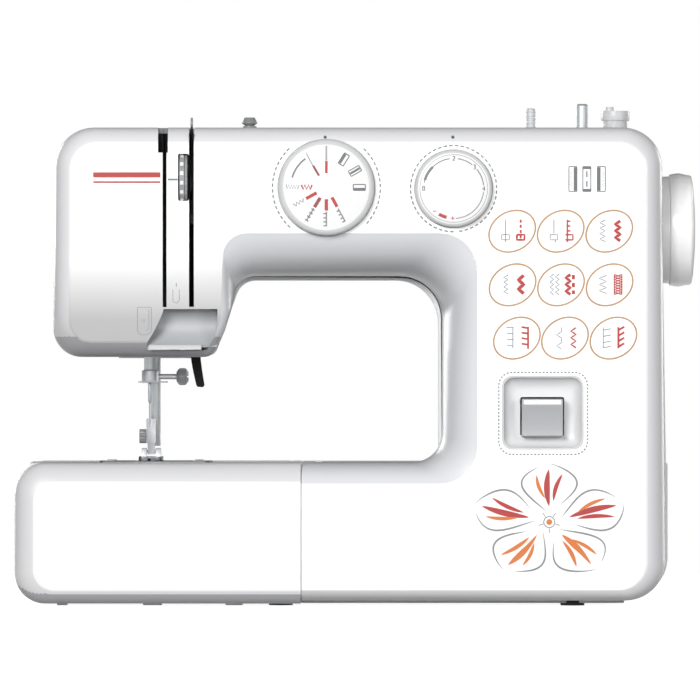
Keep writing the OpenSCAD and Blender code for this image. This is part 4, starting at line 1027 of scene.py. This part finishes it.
def pattern_dial_prints():
    at, put = dial_printer("pattern_dial")
    comb = [bar(0, 14, 22.6)] + [line((-1.1, r), (1.1, r)) for r in (15, 17.4, 19.8, 22.2)]
    side_comb = [bar(0, 14, 22.6)] + [line((0, r), (1.7, r)) for r in (15.2, 17.6, 20.0, 22.2)]
    cell = rect((-1.7, 1.7), (15.6, 22.6), 0.2, 1)
    for key, paths, turn, width in (
            ("faint", [bar(0, 15.6, 24.2)], 0, 1.1), ("red", [bar(0, 8.2, 15.4)], 0, 1.5),
            ("pale", [line((0, 14.0), (0.6, 23.0))], -32, 0.6), ("dark_red", [line((0, 8.0), (0.2, 14.8))], -32, 1.3),
            ("pale", [curve((0, 0), 20.6, -74, -36, 12)], 0, 1.1),
            ("pale", [zigzag((0, 19.6), 2.6, 7.6, 5)], -89, 0.6), ("red", [zigzag((0, 11.4), 2.6, 6.2, 3)], -89, 1.1),
            ("pale", [zigzag((0, 18.2), 1.8, 6.6, 3)], -119, 0.6),
            ("red", [bar(0, 6.4, 13.4)], -119, 1.9), ("pale", comb, -149, 0.75),
            ("dark_red", [bar(0, 7.0, 13.4)], -149, 2.0), ("pale", side_comb, 180, 0.75),
            ("red", [bar(0, 6.8, 13.4)], 180, 2.0), ("pale", side_comb, 151, 0.75),
            ("red", [bar(0, 6.6, 12.8)], 151, 1.9)):
        for path in shifted(paths, at, turn):
            put(key, path, width)
    for turn, x in ((32, -0.8), (60, 0.0), (90, 0.9)):
        for path, width in ((cell + cell[:1], 0.6), (bar(x, 16, 22.2), 1.3)):
            put("grey", shifted([path], at, turn)[0], width)


def length_dial_prints():
    at, put = dial_printer("length_dial")
    for first, last, width in ((-80, -36, 0.6), (-74, -44, 1.6), (-36, -8, 0.6), (8, 38, 0.6), (50, 84, 0.6),
            (96, 176, 0.5)):
        put("pale", curve(at, 17.4, first, last, 16), width)
    for digit, turn in ((0, -90), (2, 0), (3, 44), (4, 90)):
        for path in shifted([[p * 1.15 for p in path] for path in DIGITS[digit]], clock(at, 17.4, turn)):
            put("grey", path, 0.65)
    put("red", curve(at, 17.2, -166, -150, 8), 1.9)
    for turn, arm in ((-178, (1, 0)), (-140, (1, 0)), (-178, (0, 1))):
        point = clock(at, 17.2, turn)
        put("red", [point - Vector(arm), point + Vector(arm)], 0.45)
    put("faint", ring(at, 19.6, 96), 0.4, True)


stitch_cells()
buttonhole_cells()
dial_surrounds()
head_prints()
blossom()
pattern_dial_prints()
length_dial_prints()
for key, shape in prints.items():
    tone, _, body = key.partition("@")
    finish_piece("print_" + (body or "face") + "_" + tone, shape, "ink_" + tone, body or "machine",
            20)


# ---- small fittings
def needle_clamp():
    """The clamp that holds the needle, with its wire thread guide, and the screw with its knurled knob."""
    low, high = node_box("needle_clamp")
    needle, screw = middle("needle"), middle("clamp_screw")
    screw_low, screw_high = node_box("clamp_screw")
    body = lathe(rounded([[low[Z], 1.1], [low[Z], 4.75, 0.4], [high[Z], 4.75, 0.5], [high[Z], 2.2, 0.3],
            [high[Z] - 1.2, 2.2]]), (needle[X], AXIS_Y, 0), Z, 48)
    wire_y, wire_z = AXIS_Y - 7, low[Z] + 0.6
    wire = lathe(rounded([[low[X], 0], [low[X], 0.45, 0.2], [high[X], 0.45, 0.2], [high[X], 0]]),
            (0, wire_y, wire_z), X, 16)
    stem = lathe([(wire_y, 0.45), (AXIS_Y - 3, 0.45)], (needle[X], 0, wire_z), Y, 16)
    boss = box_shape((needle[X] + 3, high[X] - 5.4), (AXIS_Y - 2.5, AXIS_Y + 2.5), (low[Z] + 0.5, high[Z] - 0.5))
    soften(finish_piece("needle_clamp_block", merge(body, boss, wire, stem), "bright_steel", "needle_bar",
            nodes=["needle_clamp"]), 0.2)
    start, r = screw_high[X] - 7.2, (screw_high[Z] - screw_low[Z]) / 2 - 0.02
    knob = lathe(rounded([[start, 1.4], [start, r - 2.2, 0.3], [start + 1.6, r, 1.6], [start + 5.4, r, 1.6],
            [start + 7.1, r - 2.4, 0.6], [start + 7.1, 0]]), (0, screw[Y], screw[Z]), X, 160)
    knurl(knob, screw[Y], screw[Z], lambda _, reach, angle:
            0.93 if reach > r - 0.5 and cos(32 * angle) > 0 else 1)
    piece = finish_piece("clamp_screw_knob", knob, "knob_grey", "clamp_screw",
            nodes=["clamp_screw"])
    carve(piece, [box_shape((start + 6.2, start + 9), (screw[Y] - 5.5, screw[Y] + 5.5),
            (screw[Z] - 0.45, screw[Z] + 0.45))])
    shaft = lathe(rounded([[screw_low[X] + 0.1, 0], [screw_low[X] + 0.1, 1.58, 0.3], [start + 0.4, 1.58],
            [start + 0.4, 0]]), (0, screw[Y], screw[Z]), X, 32)
    finish_piece("clamp_screw_shaft", shaft, "bright_steel", "clamp_screw")


def lifter():
    """The black lever that lifts the foot: a hub inside the head, a cam finger, and a bent grip below."""
    low, _ = node_box("lifter_lever")
    turn_y, turn_z = 3.5, 150.0
    hub = merge(lathe(rounded([[low[X] + 0.1, 0], [low[X] + 0.1, 2.95, 0.3], [-98.5, 2.95], [-98.5, 0]]),
            (0, turn_y, turn_z), X, 32),
            lathe(rounded([[-98.6, 0], [-98.6, 4.75, 0.5], [-92.6, 4.75, 0.5], [-92.6, 0]]),
            (0, turn_y, turn_z), X, 40))
    finger = line((-2.4, 0), (2.4, 0), (2.0, 12.3), (1.2, 13.8), (0, 14.2), (-1.2, 13.8), (-2.0, 12.3))
    cam = prism(shifted([finger], (turn_y, turn_z), 58)[0], (low[X] + 0.1, low[X] + 4.4), X)
    left, right = ([(x + bend * t ** 1.4, 148 - 20 * t) for t in (k / 10 for k in range(11))]
            for x, bend in ((-97.4, 3.6), (-91.6, 2.6)))
    grip = prism(right + [(-90.0, low[Z] + 0.1), (-93.2, low[Z] + 0.4)] + left[::-1], (turn_y - 2.9, turn_y + 2.9))
    soften(finish_piece("lifter_lever_grip", merge(hub, cam, grip), "black_plastic", "lifter_lever",
            nodes=["lifter_lever"]), 0.5, 3)


def spool_pin():
    """A ribbed plastic pin that pulls out of the top."""
    low, high = node_box("spool_pin")
    r = (high[X] - low[X]) / 2 - 0.03
    profile = [[low[Z] + 0.05, 0], [low[Z] + 0.05, 2.35, 0.4], [TOP_Z + 0.6, 2.35], [TOP_Z + 0.6, r - 0.25]]
    for k in range(5):
        z = TOP_Z + 1.6 + 2.2 * k
        profile += [[z, r - 0.25, 0.1], [z + 0.2, r, 0.1], [z + 0.9, r, 0.1], [z + 1.1, r - 0.25, 0.1]]
    profile += [[high[Z] - 0.05, r - 0.25, 1.0], [high[Z] - 0.05, 0]]
    finish_piece("spool_pin_ribbed", lathe(rounded(profile, 3), (SPOOL[X], SPOOL[Y], 0), Z, 40), "pin_grey",
            "spool_pin", 40, ["spool_pin"])


# Looks of CAD nodes that differ from their slot, the look below a height in millimetres, and wider roundings.
LOOKS = {"needle": "blade_steel", "foot_holder": "bright_steel", "presser_foot": "clear_grey",
        "foot_thumbscrew": "knob_grey", "winder_stopper": "pin_grey", "thread_guide": "knob_grey",
        "screws": "needle_steel"}
LOWER_LOOKS = {"presser_foot": (86.4, "dark_steel"), "needle_plate": (83.75, "dark_steel")}
SOFTER = {"carrying_handle": 2.0, "storage_lid": 0.8, "power_switch": 0.8, "free_arm_cover": 1.2,
        "presser_foot": 0.4}


def dress_frame():
    """The CAD nodes that stay get their material and slightly rounded edges."""
    slots = {part["node"]: part["material_slot"] for part in frame["record"]["subparts"]}
    for node, thing in frame["nodes"].items():
        if node in replaced:
            continue
        mesh = thing.data
        mesh.materials.clear()
        look = LOOKS.get(node, slots[node])
        level, lower = LOWER_LOOKS.get(node, (0, None))
        for name in (look, lower) if lower else (look,):
            mesh.materials.append(MATERIALS[name])
        for polygon in mesh.polygons:
            polygon.material_index = int(bool(lower) and polygon.center[Z] < level * MM)
        smooth(mesh, 28)
        weld = thing.modifiers.new("weld", "WELD")
        weld.merge_threshold = 0.005 * MM
        soften(thing, SOFTER.get(node, 0.2), 3 if node in SOFTER else 2, 40)


needle_clamp()
lifter()
spool_pin()
dress_frame()


# ---- stage
def camera():
    """Square to the front, from far enough away to flatten the view as in the picture."""
    made = add_object("camera", bpy.data.cameras.new("camera"))
    made.data.lens = 500
    made.data.sensor_width = 36
    made.data.clip_end = 50
    made.location = (-0.0036, FRONT_Y * MM - 5.64, 0.1488)
    made.rotation_euler = (radians(90), 0, 0)
    scene.camera = made


def area_light(name, at, aim_z, size, watts):
    made = add_object(name, bpy.data.lights.new(name, "AREA"))
    made.data.size = size
    made.data.energy = watts
    made.location = at
    made.rotation_euler = (Vector((0, 0, aim_z)) - Vector(at)).to_track_quat("-Z", "Y").to_euler()


def world():
    """Pale surroundings that look white behind the object and light it softly, more from above."""
    made = bpy.data.worlds.new("world")
    scene.world = made
    made.use_nodes = True
    tree = made.node_tree
    parts = add_node(tree, "SeparateXYZ", {0: add_node(tree, "TexCoord").outputs["Generated"]})
    lift = add_node(tree, "MapRange", {"Value": parts.outputs["Z"], "From Min": -0.35, "From Max": 0.5,
            "To Min": 0.03, "To Max": 0.17})
    soft = tree.nodes["Background"]
    feed(tree, soft, {"Color": (1, 1, 1, 1), "Strength": lift.outputs["Result"]})
    seen = add_node(tree, "Background", {"Color": (1, 1, 1, 1), "Strength": 1.0})
    path = add_node(tree, "LightPath")
    mix = add_node(tree, "MixShader", {"Fac": path.outputs["Is Camera Ray"], 1: soft.outputs[0], 2: seen.outputs[0]})
    feed(tree, tree.nodes["World Output"], {"Surface": mix.outputs[0]})


def floor():
    made = add_object("floor", make_mesh("floor", box_shape((-1500, 1500), (-1900, 700), (-6.0, -0.02))))
    material = plastic("floor_white", (0.93, 0.93, 0.93), 0.7)
    feed(material.node_tree, material.node_tree.nodes["Principled BSDF"],
            {"Emission Color": (1, 1, 1, 1), "Emission Strength": 0.86})
    made.data.materials.append(material)
    made.visible_diffuse = False


camera()
world()
floor()
for light in (("key", (-1.3, -3.6, 1.25), 0.15, 1.4, 116), ("fill", (2.3, -3.3, 0.9), 0.15, 1.2, 38),
        ("front", (0.2, -4.4, 0.4), 0.14, 1.0, 30), ("back_left", (-2.4, 3.2, 0.9), 0.12, 1.6, 74),
        ("back_right", (2.8, 2.6, 0.7), 0.12, 1.6, 56)):
    area_light(*light)
scene.view_settings.view_transform = "Standard"
scene.render.film_transparent = False
